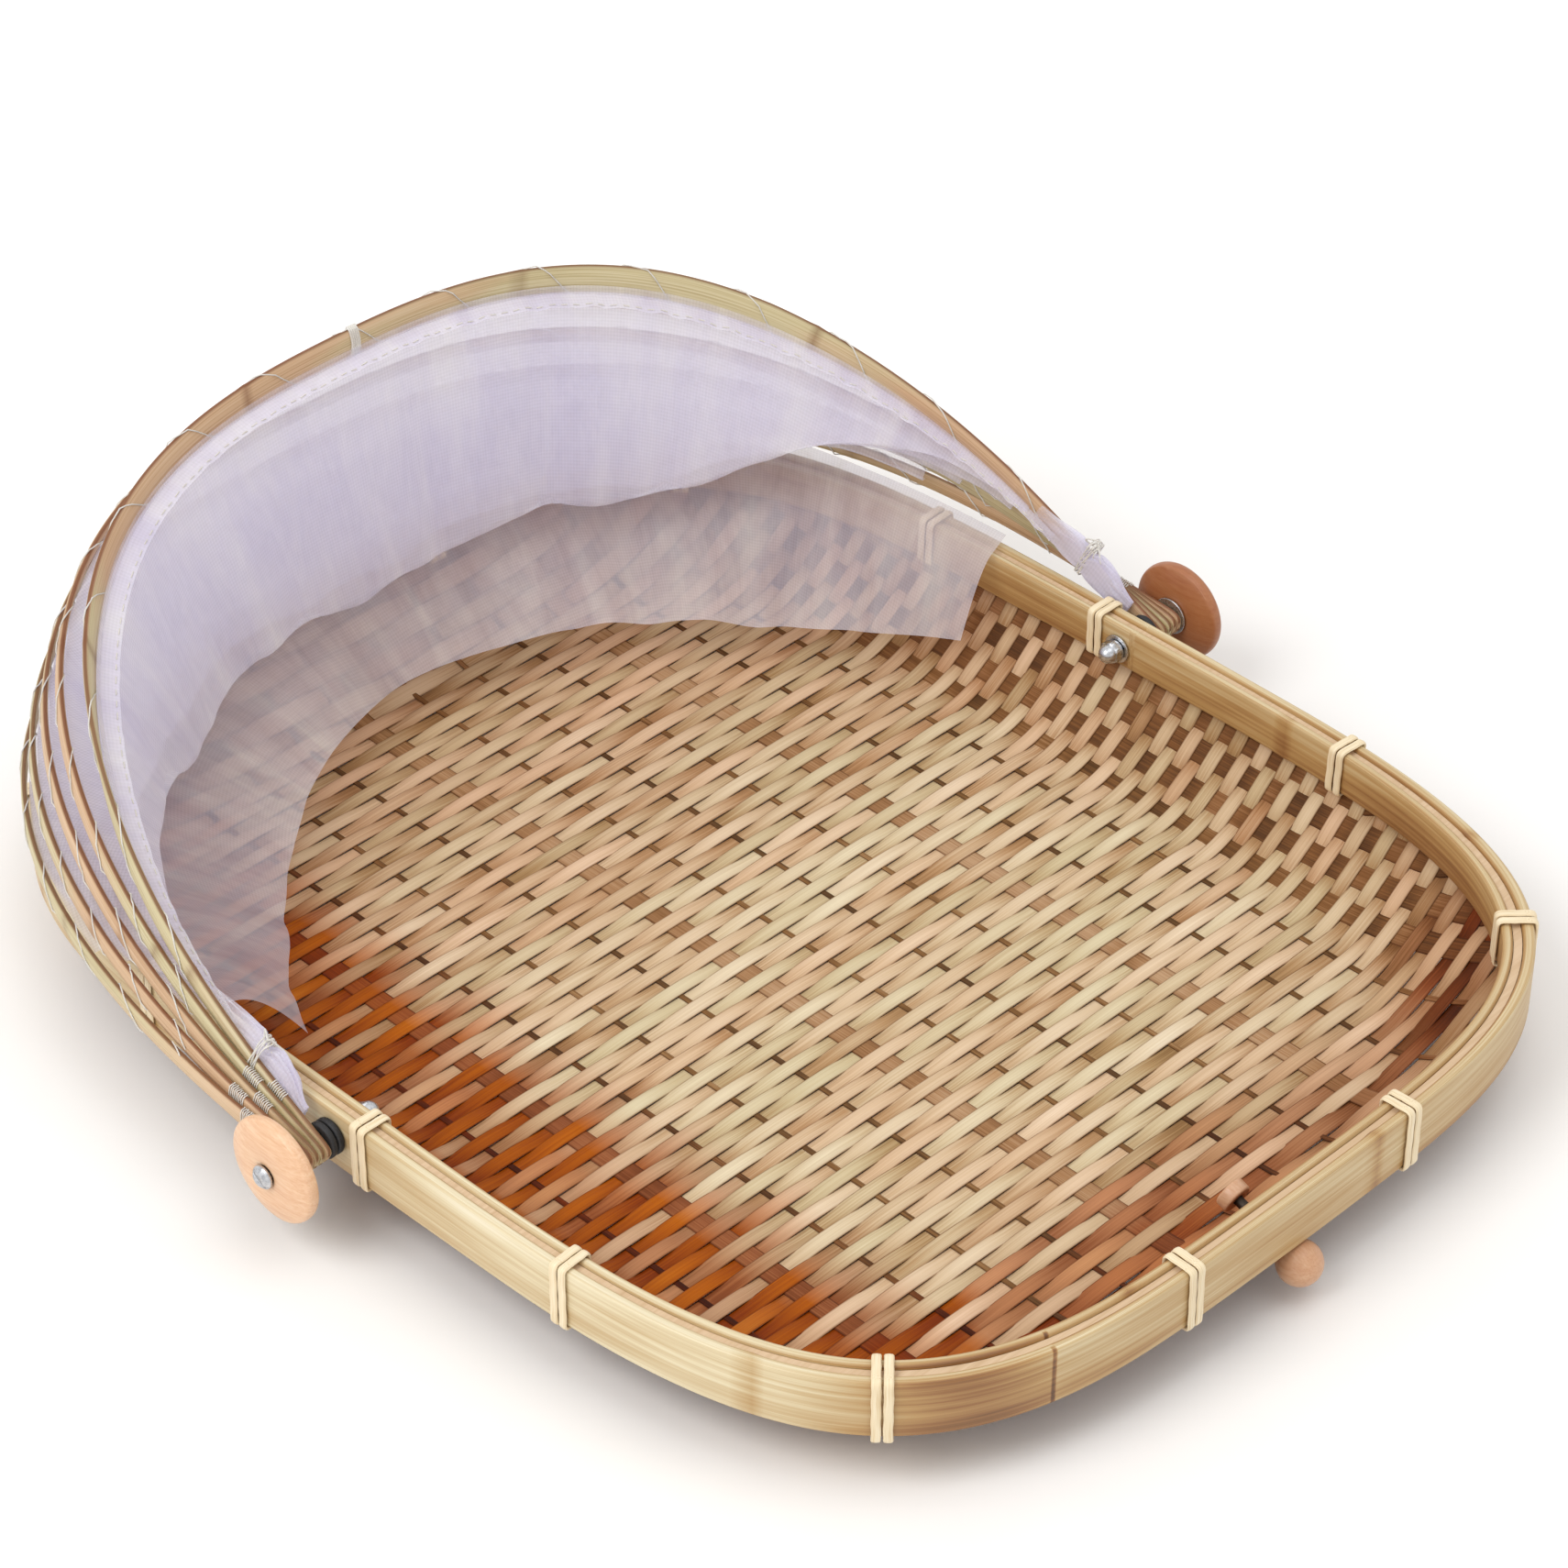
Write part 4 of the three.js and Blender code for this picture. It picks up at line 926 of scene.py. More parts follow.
# The latch: a turned wooden bead pressed on a steel peg that passes through the weave under the
# front rim, with a small wooden collar on the peg's inner end. The string on the hood's front rib
# loops over the bead when the hood is shut.
bead_radius = 6.6
bead_drop = 26.5
bead_inset = 0.4
bead_flat = 0.82
peg_tilt = math.radians(20)
peg_radius = 1.5
peg_inner = 26
collar_radius = 4.6
collar_length = 4
collar_recess = 1.6
peg_bore = peg_radius + seat_gap
bead_middle = np.array([0, bead_inset - half_length, tray_depth - bead_drop])
peg_out = np.array([0, -math.cos(peg_tilt), -math.sin(peg_tilt)])
peg_up = np.array([0, -math.sin(peg_tilt), math.cos(peg_tilt)])


def on_peg(profile, loop):
    """A round piece on the peg's line from a profile of (radius, distance outwards)."""
    turn = np.linspace(0, 2 * np.pi, 40, endpoint=False)
    spokes = np.outer(np.cos(turn), [1, 0, 0]) + np.outer(np.sin(turn), peg_up)
    rings = np.array([bead_middle + out * peg_out + radius * spokes for radius, out in profile])
    points, faces = solid_of(rings, loop=loop)
    # The bead and the collar take a little painted shade.
    return points, faces, {"heart": np.full(len(points), 0.4)}


start_angle = math.asin(min(peg_bore / bead_radius, 1))
bead_profile = [(peg_bore, -1)] + [
    (bead_radius * math.sin(t), -min(bead_radius * math.cos(t), bead_radius * bead_flat))
    for t in np.linspace(start_angle, math.pi - 0.03, 26)
] + [(0.05, bead_radius), (0.05, -1)]
bead = make_piece("turned_bead", [on_peg(bead_profile, True)], turned_finish, sharp=45)
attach(bead, "tray")
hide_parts("latch_bead")
peg_profile = softened([(0.02, -peg_inner), (peg_radius, -peg_inner), (peg_radius, -1.2), (0.02, -1.2)], 0.3)
# Steel given a dark, dull colour as painted shade, so that the peg's end reads as a dark hole in the collar.
peg_finish, tree = new_finish("steel_darkened_as_painted_shade")
shade_mottle = add(tree, "TexNoise", {"Scale": 1 / (1.5 * MM), "Detail": 3})
painted_shade_dark = add(tree, "ValToRGB", {"Fac": shade_mottle}, stops=[(0.3, "#2A2420"), (0.7, "#5A5048")])
steel = add(tree, "BsdfPrincipled", {"Base Color": painted_shade_dark, "Metallic": 1, "Roughness": 0.55})
add(tree, "OutputMaterial", {"Surface": steel})
peg = make_piece("latch_pin", [on_peg([p for p in peg_profile if p[0] > 0.01], False)], peg_finish)
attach(peg, "tray")
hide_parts("latch_peg")
collar_start = -peg_inner - collar_recess
collar_profile = slab(peg_bore, collar_radius, collar_start, collar_start + collar_length, 0.8, 4)
collar = make_piece("turned_collar", [on_peg(collar_profile, True)], turned_finish)
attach(collar, "tray")
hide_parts("latch_collar")

# The hood's five ribs: thin shaved bamboo strips bent into hoops from bolt to bolt, each a little
# wider at the bolt, and the front one broad at its top. They lie side by side on the bolts.
rib_reach = 206
rib_power = 2.65
rib_end_width = 8
rib_width = 5.5
front_rib_width = 9
rib_taper = 28
front_rib_swell = 150
front_rib_angle = 152.3
rib_spacing_angle = 5.5
rib_names = ["front", "second", "third", "fourth", "rear"]


def rib_angle(rib):
    """A rib's angle at rest, from the front over the top."""
    return math.radians(front_rib_angle + rib * rib_spacing_angle)


def swung(x, reach, swing, angle):
    """Turns places in a hoop's own plane to the hood's angle, counted from the front over the top."""
    y = hinge_setback - reach * np.cos(angle) + swing * np.sin(angle)
    z = hinge_height + reach * np.sin(angle) + swing * np.cos(angle)
    return rows_of(x, y, z)


def hoop_reach(rib, share, inset):
    """A place in a hoop's own plane, a share of the way round it: sideways, and out from the hinge."""
    side = first_rib + rib * rib_pitch + rib_thickness / 2 - inset
    x, reach = oval(np.pi * share, side, rib_reach + rib * rib_pitch - inset, rib_power)
    return -x, reach


def hoop_point(rib, share, inset, swing, angle):
    """A place on a hoop that stands at an angle, moved inwards and across the strip."""
    x, reach = hoop_reach(rib, share, inset)
    return swung(x, reach, swing, angle)


# The front rib leans outwards over its top, as a brim does, so that its wide face looks forwards.
front_rib_lean = math.radians(30)
front_rib_drop = 3.4
lean_start = 0.3
lean_run = 0.55


def eased(share):
    """A share of nought to one that starts and ends gently."""
    return share * share * (3 - 2 * share)


def leaning(rib, share, inset, swing):
    """A place on a rib's own section, inwards and across its width, turned with the rib's lean."""
    height = hoop_reach(rib, share, 0)[1]
    part = eased(np.clip((height / rib_reach - lean_start) / lean_run, 0, 1)) * (rib == 0)
    lean = front_rib_lean * part
    inwards = inset * np.cos(lean) + swing * np.sin(lean) + front_rib_drop * part
    return inwards, swing * np.cos(lean) - inset * np.sin(lean)


def on_rib(rib, share, inset, swing):
    """A place on a rib at rest, inwards from its middle line and across its width."""
    inwards, across = leaning(rib, share, inset, swing)
    return hoop_point(rib, share, inwards, across, rib_angle(rib))


def rib_half_width(rib, height):
    """Half of a rib's width where it is a height out from the hinge line."""
    top = front_rib_width if rib == 0 else rib_width
    narrowing = np.minimum(height / rib_taper, 1)
    swelling = np.minimum(height / front_rib_swell, 1) ** 2
    return (rib_end_width + (rib_width - rib_end_width) * narrowing + (top - rib_width) * swelling) / 2


# Shaved rib bamboo: thinner and paler than the rim, orange tan and olive by turns along its
# length, with brown knife-cut edges and a dark ring at each growth joint.
rib_finish, tree = new_finish("shaved_bamboo_rib")
tone = add(tree, "Attribute", {}, attribute_name="tone")
edge = add(tree, "Attribute", {}, attribute_name="edge")
grain = add(tree, "Attribute", {}, attribute_name="grain")
fibre_space = add(tree, "Mapping", {"Vector": grain.outputs["Vector"], "Scale": (1 / 70, 1 / 0.5, 1)})
fibres = add(tree, "TexNoise", {"Vector": fibre_space, "Scale": 1, "Detail": 4})
patch_space = add(tree, "Mapping", {"Vector": grain.outputs["Vector"], "Scale": (1 / 75, 1 / 12, 1)})
patches = add(tree, "TexNoise", {"Vector": patch_space, "Scale": 1, "Detail": 2})
olive = add(tree, "ValToRGB", {"Fac": fibres}, stops=[(0.25, "#B4A274"), (0.5, "#D4C89E"), (0.8, "#E8E0C2")])
tan = add(tree, "ValToRGB", {"Fac": fibres}, stops=[(0.25, "#BA9068"), (0.5, "#D9B792"), (0.8, "#E8CFB0")])
patch = add(tree, "Math", {0: tone.outputs["Fac"], 1: patches}, operation="ADD")
patch_share = add(tree, "MapRange", {"Value": patch, "From Min": 0.85, "From Max": 1.15})
face = add(tree, "MixRGB", {"Fac": patch_share, "Color1": tan, "Color2": olive})
cut_face = add(tree, "MixRGB", {
    "Fac": edge.outputs["Fac"], "Color1": face, "Color2": linear("#94694A"),
}, blend_type="MULTIPLY")
ridges = add(tree, "Bump", {"Height": fibres, "Strength": 0.4, "Distance": 0.12 * MM})
gloss = add(tree, "MapRange", {"Value": fibres, "To Min": 0.42, "To Max": 0.6})
skin = add(tree, "BsdfPrincipled", {"Base Color": cut_face, "Roughness": gloss, "Normal": ridges, "IOR": 1.5})
add(tree, "OutputMaterial", {"Surface": skin})

# A rib's section, as shares of half its thickness and half its width, and the taper of its ends.
rib_profile = [
    (-0.4, -1), (-0.92, -0.86), (-1, -0.4), (-1, 0.4), (-0.92, 0.86), (-0.4, 1),
    (0.5, 1), (1, 0.86), (1, -0.86), (0.5, -1),
]
tail_steps = np.array([-5, -4.8, -4.2, -3.2, -1.8])
tail_widths = np.array([0.3, 0.58, 0.82, 0.95, 1])
first_joints = np.array([58, 163, 271, 374, 472])


def rib_solid(rib):
    """A rib from one rounded end to the other, with a slight swelling at each growth joint."""
    share = np.linspace(0, 1, 241)
    x, height = hoop_reach(rib, share, 0)
    length = run_length(on_rib(rib, share, 0, 0))
    joints = first_joints + 13 * rib
    swell = sum(bump_at(length, joint, 1.6) for joint in joints)
    width = rib_half_width(rib, height) * (1 + 0.03 * np.sin(length / 21 + rib)) + 0.22 * swell
    along = np.concatenate([tail_steps, length, length[-1] - tail_steps[::-1]])
    dark = 0.5 * np.concatenate([0 * tail_steps, swell, 0 * tail_steps])
    rings, grains, edges = [], [], []
    for depth, swing in rib_profile:
        inset = depth * rib_thickness / 2
        start = swung(x[0] + inset, tail_steps, swing * width[0] * tail_widths, rib_angle(rib))
        end = swung(x[-1] - inset, tail_steps, swing * width[-1] * tail_widths, rib_angle(rib))[::-1]
        rings.append(np.concatenate([start, on_rib(rib, share, inset, swing * width), end]))
        across = np.concatenate([0 * tail_steps, swing * width, 0 * tail_steps])
        grains.append(rows_of(along + 300 * rib, across + 20 * depth, rib))
        edges.append((0.95 if abs(swing) == 1 else 0.1) + dark)
    points, faces = solid_of(np.stack(rings, 1))
    return points, faces, {
        "tone": np.repeat(0.5 + 0.25 * np.sin(along / 53 + 1.3 * rib), len(rib_profile)),
        "edge": np.clip(np.stack(edges, 1), 0, 1).ravel(), "grain": np.stack(grains, 1).reshape(-1, 3),
    }


for rib, rib_name in enumerate(rib_names):
    strip = make_piece(f"bamboo_rib_{rib_name}", [rib_solid(rib)], rib_finish, sharp=55)
    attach(strip, f"rib_{rib_name}")
    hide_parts(f"hood_rib_{rib_name}")

# The whip stitches: white twisted cotton sewing thread, wound in wide turns round every rib and
# through the gauze, and lashed close for a few millimetres up each leg from the bolt.
thread_finish, tree = new_finish("twisted_cotton_thread")
grain = add(tree, "Attribute", {}, attribute_name="grain")
ply_space = add(tree, "Mapping", {
    "Vector": grain.outputs["Vector"], "Rotation": (0, 0, 0.9), "Scale": (1 / 0.35, 1 / 0.35, 1),
})
plies = add(tree, "TexWave", {
    "Vector": ply_space, "Scale": 1, "Distortion": 1.5, "Detail": 2,
}, bands_direction="X")
cotton = add(tree, "ValToRGB", {"Fac": plies.outputs["Fac"]}, stops=[
    (0, "#D9D3C8"), (0.6, "#F3F0EA"), (1, "#FBFAF6"),
])
twist = add(tree, "Bump", {"Height": plies.outputs["Fac"], "Strength": 0.5, "Distance": 0.1 * MM})
fuzz = add(tree, "BsdfPrincipled", {
    "Base Color": cotton, "Roughness": 0.85, "Normal": twist, "Sheen Weight": 0.3, "Sheen Roughness": 0.5,
})
add(tree, "OutputMaterial", {"Surface": fuzz})


def thread_solid(path, lean_from, radius, sides=6):
    """A round thread along a path; lean_from is a point for each station that it turns about."""
    along = unit(np.gradient(path, axis=0))
    up = path - lean_from
    up = unit(up - (up * along).sum(1)[:, None] * along, 1e-6)
    side = np.cross(along, up)
    turn = np.linspace(0, 2 * np.pi, sides, endpoint=False)
    radius = np.broadcast_to(radius, len(path))
    rings = path[:, None, :] + radius[:, None, None] * (
        np.cos(turn)[None, :, None] * up[:, None, :] + np.sin(turn)[None, :, None] * side[:, None, :]
    )
    points, faces = solid_of(rings)
    grains = rows_of(np.repeat(run_length(path), sides), np.tile(turn, len(path)) * 0.3, radius[0])
    return points, faces, {"grain": grains}


def start_share(rib, radius):
    """The share of a hoop at which its leg is that far from the bolt."""
    return math.atan2(radius, first_rib + rib * rib_pitch) / math.pi


def whipping(rib, first, last, pitch, radius, clearance=0.05):
    """Thread wound round a rib between two shares of its hoop, unevenly where it is loose."""
    fine = np.linspace(first, last, 400)
    line = on_rib(rib, fine, 0, 0)
    length = run_length(line)
    turns = length[-1] / pitch
    at = np.linspace(0, length[-1], int(turns * 14) + 2)
    share = np.interp(at, length, fine)
    turn = 2 * np.pi * at / pitch + rib
    depth, swing = oval(turn, 1, 1, 5)
    height = hoop_reach(rib, share, 0)[1]
    depth = depth * (rib_thickness / 2 + radius + clearance)
    swing = swing * (rib_half_width(rib, height) + radius + clearance)
    uneven = 1 + 3 * clearance * np.sin(5.3 * turn + rib) * np.sin(0.7 * turn)
    path = on_rib(rib, share, depth * uneven, swing * uneven)
    centre = on_rib(rib, share, 0, 0)
    return thread_solid(path, centre, radius)


whip_radius = 0.22
whip_start = 47
whip_pitches = [34, 25, 29, 23, 27]
lash_pitch = 0.7
lash_radius = 0.19
lash_radii = [(14.5, 20.5), (22, 28), (14.5, 20.5), (22, 28), (14.5, 20.5)]
for rib, rib_name in enumerate(rib_names):
    first = start_share(rib, whip_start)
    coils = [whipping(rib, first, 1 - first, whip_pitches[rib], whip_radius)]
    low, high = (start_share(rib, radius) for radius in lash_radii[rib])
    for first, last in ((low, high), (1 - high, 1 - low)):
        coils.append(whipping(rib, first, last, lash_pitch, lash_radius, 0.03))
    whip = make_piece(f"whip_stitch_{rib_name}", coils, thread_finish, sharp=80)
    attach(whip, f"rib_{rib_name}")

# The hood's gauze: white open polyester net, sewn under the ribs, with one deep slack fold hanging
# between each two of them, so that it spreads when the hood closes.
gauze_stitch = 1.4
panel_start_radii = [54, 60, 82, 98]
panel_sag = 2.6
fold_drops = [40, 33.5, 27.5, 21.5]
fold_heights = [17, 15, 16.5, 18]
fold_opening = 2.2
gather_wave = 2.2
gather_count = 7
ramp_share = 0.3
gauze_inset = rib_thickness / 2 + seat_gap + seat_gap


def gauze_finish(name, cover, dense, thinned=None):
    """Net finish: cover is the share of light that one layer stops, and thinned marks where it parts."""
    finish, tree = new_finish(name)
    grain = add(tree, "Attribute", {}, attribute_name="grain")
    # The real net has about 15 threads a centimetre; it is drawn at 1.1 mm, so that it shows.
    net_pitch = 1.1
    net_space = add(tree, "Mapping", {
        "Vector": grain.outputs["Vector"], "Scale": (1 / net_pitch, 1 / net_pitch, 1),
    })
    threads = {"Vector": net_space, "Scale": 0.318, "Distortion": 0.6, "Detail": 1}
    warp = add(tree, "TexWave", threads, bands_direction="X")
    weft = add(tree, "TexWave", threads, bands_direction="Y")
    net = add(tree, "Math", {0: warp.outputs["Fac"], 1: weft.outputs["Fac"]}, operation="ADD")
    crease_space = add(tree, "Mapping", {"Vector": grain.outputs["Vector"], "Scale": (1 / 16, 1 / 60, 1)})
    creases = add(tree, "TexNoise", {
        "Vector": crease_space, "Scale": 1, "Detail": 4, "Roughness": 0.6, "Distortion": 0.4,
    })
    netting = add(tree, "Math", {0: net, 1: 0.05, 2: cover - 0.05}, operation="MULTIPLY_ADD")
    alpha = add(tree, "Math", {0: creases, 1: dense, 2: netting}, operation="MULTIPLY_ADD", use_clamp=True)
    if thinned:
        parting = add(tree, "Attribute", {}, attribute_name=thinned)
        opened = add(tree, "MapRange", {"Value": parting.outputs["Fac"], "To Min": 1, "To Max": 0.2})
        alpha = add(tree, "Math", {0: alpha, 1: opened}, operation="MULTIPLY")
    white_net = add(tree, "ValToRGB", {"Fac": creases}, stops=[
        (0.3, "#EAE7FA"), (0.5, "#F3F1FE"), (0.75, "#FCFCFF"),
    ])
    relief = add(tree, "Bump", {"Height": creases, "Strength": 0.35, "Distance": 1.5 * MM})
    cloth = add(tree, "BsdfPrincipled", {
        "Base Color": white_net, "Roughness": 0.8, "Alpha": alpha, "Normal": relief, "Sheen Weight": 0.15,
        "Sheen Roughness": 0.4, "Specular IOR Level": 0.3,
    })
    # Thin net passes much of the light that falls on its far side, so it glows when lit from behind.
    glow = add(tree, "BsdfTranslucent", {"Color": white_net, "Normal": relief})
    holes = add(tree, "BsdfTransparent", {})
    lit_through = add(tree, "MixShader", {"Fac": alpha, 1: holes, 2: glow})
    net_body = add(tree, "MixShader", {"Fac": 0.45, 1: cloth, 2: lit_through})
    add(tree, "OutputMaterial", {"Surface": net_body})
    return finish


gauze = gauze_finish("white_polyester_gauze", 0.25, 0.41)
loose_gauze = gauze_finish("white_gauze_gathered_at_its_loose_edge", 0.33, 0.45)
hem_gauze = gauze_finish("gauze_doubled_at_the_hem", 0.72, 0.2)


def sheet_grid(rows, columns):
    """The shares along and across a sheet at the points of its grid."""
    return np.meshgrid(np.linspace(0, 1, rows + 1), np.linspace(0, 1, columns + 1), indexing="ij")


def sheet_solid(grid):
    """Points, faces and cloth coordinates of an open sheet on a grid of points."""
    rows, columns = grid.shape[:2]
    first = np.arange(rows - 1)[:, None] * columns + np.arange(columns - 1)[None, :]
    faces = rows_of(first, first + columns, first + columns + 1, first + 1).reshape(-1, 4).tolist()
    down = np.linalg.norm(np.diff(grid, axis=0), axis=2)
    wide = np.linalg.norm(np.diff(grid, axis=1), axis=2)
    along = np.concatenate([[0], np.cumsum(down.max(1))])
    across = np.concatenate([np.zeros((rows, 1)), np.cumsum(wide, 1)], 1)
    return grid.reshape(-1, 3), faces, {"grain": rows_of(along[:, None], across, 0).reshape(-1, 3)}


def sheet_size(grid):
    """A sheet's greatest length each way and its area, in metres."""
    down = np.linalg.norm(np.diff(grid, axis=0), axis=2).sum(0).max()
    wide = np.linalg.norm(np.diff(grid, axis=1), axis=2).sum(1).max()
    a = grid[1:, :-1] - grid[:-1, :-1]
    b = grid[:-1, 1:] - grid[:-1, :-1]
    c = grid[1:, :-1] - grid[1:, 1:]
    d = grid[:-1, 1:] - grid[1:, 1:]
    area = (np.linalg.norm(np.cross(a, b), axis=2) + np.linalg.norm(np.cross(c, d), axis=2)).sum() / 2
    return down * MM, wide * MM, area * MM * MM


def raised(grid, height):
    """A sheet with its points moved along its own normal."""
    normal = unit(np.cross(np.gradient(grid, axis=0), np.gradient(grid, axis=1)), 1e-9)
    return grid + normal * height[..., None]


def lerp(a, b, t):
    """The places a share of the way from one row of places to another."""
    return a + (b - a) * t[..., None]


def panel_grid(panel, u, v):
    """The CAD panel's surface: down from its front rib to the fold, and up to the next rib."""
    start = start_share(panel, panel_start_radii[panel])
    fold_reach = rib_reach - fold_drops[panel]
    share = start + (1 - 2 * start) * u
    front = on_rib(panel, share, gauze_inset, gauze_stitch)
    back = on_rib(panel + 1, share, gauze_inset, -gauze_stitch)
    scale = np.hypot(front[..., 1] - hinge_setback, front[..., 2] - hinge_height) / rib_reach
    ramp = eased(np.minimum(np.minimum(u, 1 - u) / ramp_share, 1))
    gather = gather_wave * np.sin(gather_count * np.pi * u) * ramp
    between = rib_angle(panel) + math.radians(rib_spacing_angle) / 2
    middle = hoop_point(panel, share, gauze_inset + panel_sag, 0, between)
    low = rows_of(
        middle[..., 0] * fold_reach / rib_reach,
        hinge_setback + fold_reach * scale,
        hinge_height + fold_heights[panel] + gather,
    )
    near = lerp(middle, low, ramp)
    far = near.copy()
    far[..., 1] += fold_opening * ramp
    half = np.where(v < 0.5, 2 * v, 2 - 2 * v)
    ease = half + half * (1 - half) / 2
    return np.where((v <= 0.5)[..., None], lerp(front, near, ease), lerp(back, far, ease)), ramp


# Each wrinkle of a panel: how many waves run along it and how high they stand, in mm.
panel_wrinkles = [(9, 0.9), (14, 0.6), (21, 0.25), (33, 0.12)]
for panel in range(rib_count - 1):
    u, v = sheet_grid(170, 44)
    grid, ramp = panel_grid(panel, u, v)
    # The fold's sharp edges are softened across the sheet.
    grid = smoothed(grid.transpose(1, 0, 2), 2).transpose(1, 0, 2)
    wrinkle = np.zeros_like(u)
    for waves, height in panel_wrinkles:
        phase = draw.uniform(0, 6) + 2.4 * v * draw.uniform(-1, 1)
        wrinkle += height * np.sin(2 * np.pi * waves * u + phase + 1.4 * np.sin(5 * u + waves))
    free = np.sin(np.pi * np.clip(v, 0, 1)) ** 0.6 * (0.25 + 0.75 * ramp)
    grid = raised(grid, wrinkle * free)
    net = make_piece(f"gauze_fold_{panel + 1}", [sheet_solid(grid)], gauze, sharp=180, closed=False)
    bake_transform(net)
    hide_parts(f"gauze_panel_{panel + 1}")
    length, depth, area = sheet_size(grid)
    max(area, 0.31 * length * depth)

# The front hem: the gauze's edge turned over twice and sewn to the front rib's inner side, a dense
# white band beside the bamboo with a row of small stitches along it.
hem_width = 5.8
hem_start = 42
hem_end_width = 0.4
hem_full_height = 110
hem_steps = 260
hem_rows = 6
stitched_row = 5
u, v = sheet_grid(hem_steps, hem_rows)
start = start_share(0, hem_start)
share = start + (1 - 2 * start) * u
height = hoop_reach(0, share, 0)[1]
sewn_at = rib_half_width(0, height) * 0.8
inwards, across = leaning(0, share, rib_thickness / 2 + 0.25, sewn_at)
hem_share = hem_end_width + (1 - hem_end_width) * np.clip(height / hem_full_height, 0, 1)
hem_depth = v * hem_width * hem_share
flat_hem = hoop_point(0, share, inwards + hem_depth, across - 0.1 * hem_depth, rib_angle(0))
pucker = 0.35 * np.sin(2 * np.pi * 46 * u) + 0.25 * np.sin(2 * np.pi * 71 * u + 1)
hem_grid = raised(flat_hem, pucker * v)
hem = make_piece("front_hem", [sheet_solid(hem_grid)], hem_gauze, sharp=180, closed=False)
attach(hem, "rib_front")
length, depth, area = sheet_size(hem_grid)
max(depth, 0.0101)
min(area, length * 0.0101)
stitches = []
stitch_line = raised(hem_grid, np.full_like(u, -0.25))[:, stitched_row]
for k in range(1, hem_steps - 1, 2):
    a, b = stitch_line[k], stitch_line[k + 1]
    path = np.array([a, a + (b - a) * 0.35, a + (b - a) * 0.7, b])
    stitches.append(thread_solid(path, path + np.array([0, 5, -5]), 0.2, 5))
stitch_row = make_piece("hem_stitches", stitches, thread_finish, sharp=80)
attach(stitch_row, "rib_front")

# The loose rear edge of the gauze: one net flap sewn to the rear rib, which lies over the rear rim
# and hangs inside the tray with its edge near the weave.
curtain_start_radius = 60
curtain_lift = 4
curtain_rib_gap = 5
curtain_rim_share = 0.34
knee_share = 0.4
hem_reach = 152
hem_half_width = 146
hem_power = 1.6
hem_height = 19
hem_wave = 1.6
gauze_thickness = 0.6
curtain_wrinkles = [(8, 1.1), (13, 0.7), (19, 0.35), (31, 0.12)]


def curtain_grid(u, v):
    """The curtain's surface: from the rear rib over the rim, and down to its loose edge."""
    rib = rib_count - 1
    start = start_share(rib, curtain_start_radius)
    over = tray_depth + seat_gap + tie_thickness + seat_gap + gauze_thickness / 2
    share = start + (1 - 2 * start) * u
    stitch = hoop_point(rib, share, gauze_inset, gauze_stitch, rib_angle(rib))
    angle = np.arctan2(stitch[..., 1], stitch[..., 0])
    x, y = rim_point(-tie_thickness - seat_gap, angle)
    edge = rows_of(x, y, over)
    lift = np.clip((stitch[..., 2] - over) / curtain_lift, 0, 1)
    rim_reach = np.hypot(*rim_point(rim_inset + 2 * tie_thickness, angle))
    reach = np.minimum(rim_reach, np.hypot(stitch[..., 0], stitch[..., 1]) - curtain_rib_gap)
    inner = rows_of(reach * np.cos(angle), reach * np.sin(angle), over)
    upper = lerp(lerp(edge, stitch, lift), inner, np.clip(v / curtain_rim_share, 0, 1))
    hem_x, hem_y = oval(np.pi * share, hem_half_width, hem_reach, hem_power)
    hem_z = hem_height + hem_wave * np.sin(gather_count * np.pi * share)
    hem_line = rows_of(-hem_x, hinge_setback + hem_y, hem_z)
    knee = inner + (hem_line - inner) * knee_share
    knee[..., 2] = over - tie_thickness
    fall = np.clip((v - curtain_rim_share) / (1 - curtain_rim_share), 0, 1)
    lower = lerp(lerp(inner, knee, fall), lerp(knee, hem_line, fall), fall)
    return np.where((v <= curtain_rim_share)[..., None], upper, lower)


u, v = sheet_grid(170, 42)
wrinkle = np.zeros_like(u)
for waves, height in curtain_wrinkles:
    phase = draw.uniform(0, 6) - 1.5 * v
    wrinkle += height * np.sin(2 * np.pi * waves * u + phase + 1.2 * np.sin(6 * u + waves))
free = np.clip((v - 0.42) / 0.4, 0, 1) * np.clip(12 * u, 0, 1) * np.clip(12 * (1 - u), 0, 1)
grid = raised(curtain_grid(u, v), wrinkle * free)
curtain = make_piece("gauze_curtain", [sheet_solid(grid)], loose_gauze, sharp=180, closed=False)
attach(curtain, "rib_rear")
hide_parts("gauze_rear_curtain")
length, depth, area = sheet_size(grid)
max(area, 0.31 * length * depth)

# The gathered ends: beside each bolt the gauze is drawn into a fluted bundle along the inside of the
# front rib's leg, and bound with a few turns of thread and four loose loops.
tail_start = 8.5
tail_end = 50
tail_rings = 44
tail_room = 3.6
flutes = 9
binding_radius = 27
binding_turns = 6
binding_length = 2.8
binding_depth = 1.75
binding_drop = 3.2
loop_count = 4
# The bundle's depth and height beside the bolt, and where it is fully gathered.
bundle_depths = (1.7, 4.9)
bundle_heights = (7, 11.5)
bundle_gauze = gauze_finish("gauze_gathered_in_flutes", 0.74, 0.16, "spread")


def leg_side(radius, inset):
    """How far out to the side the front rib's leg is, at a distance from the bolt."""
    return np.abs(hoop_reach(0, start_share(0, radius), inset)[0])


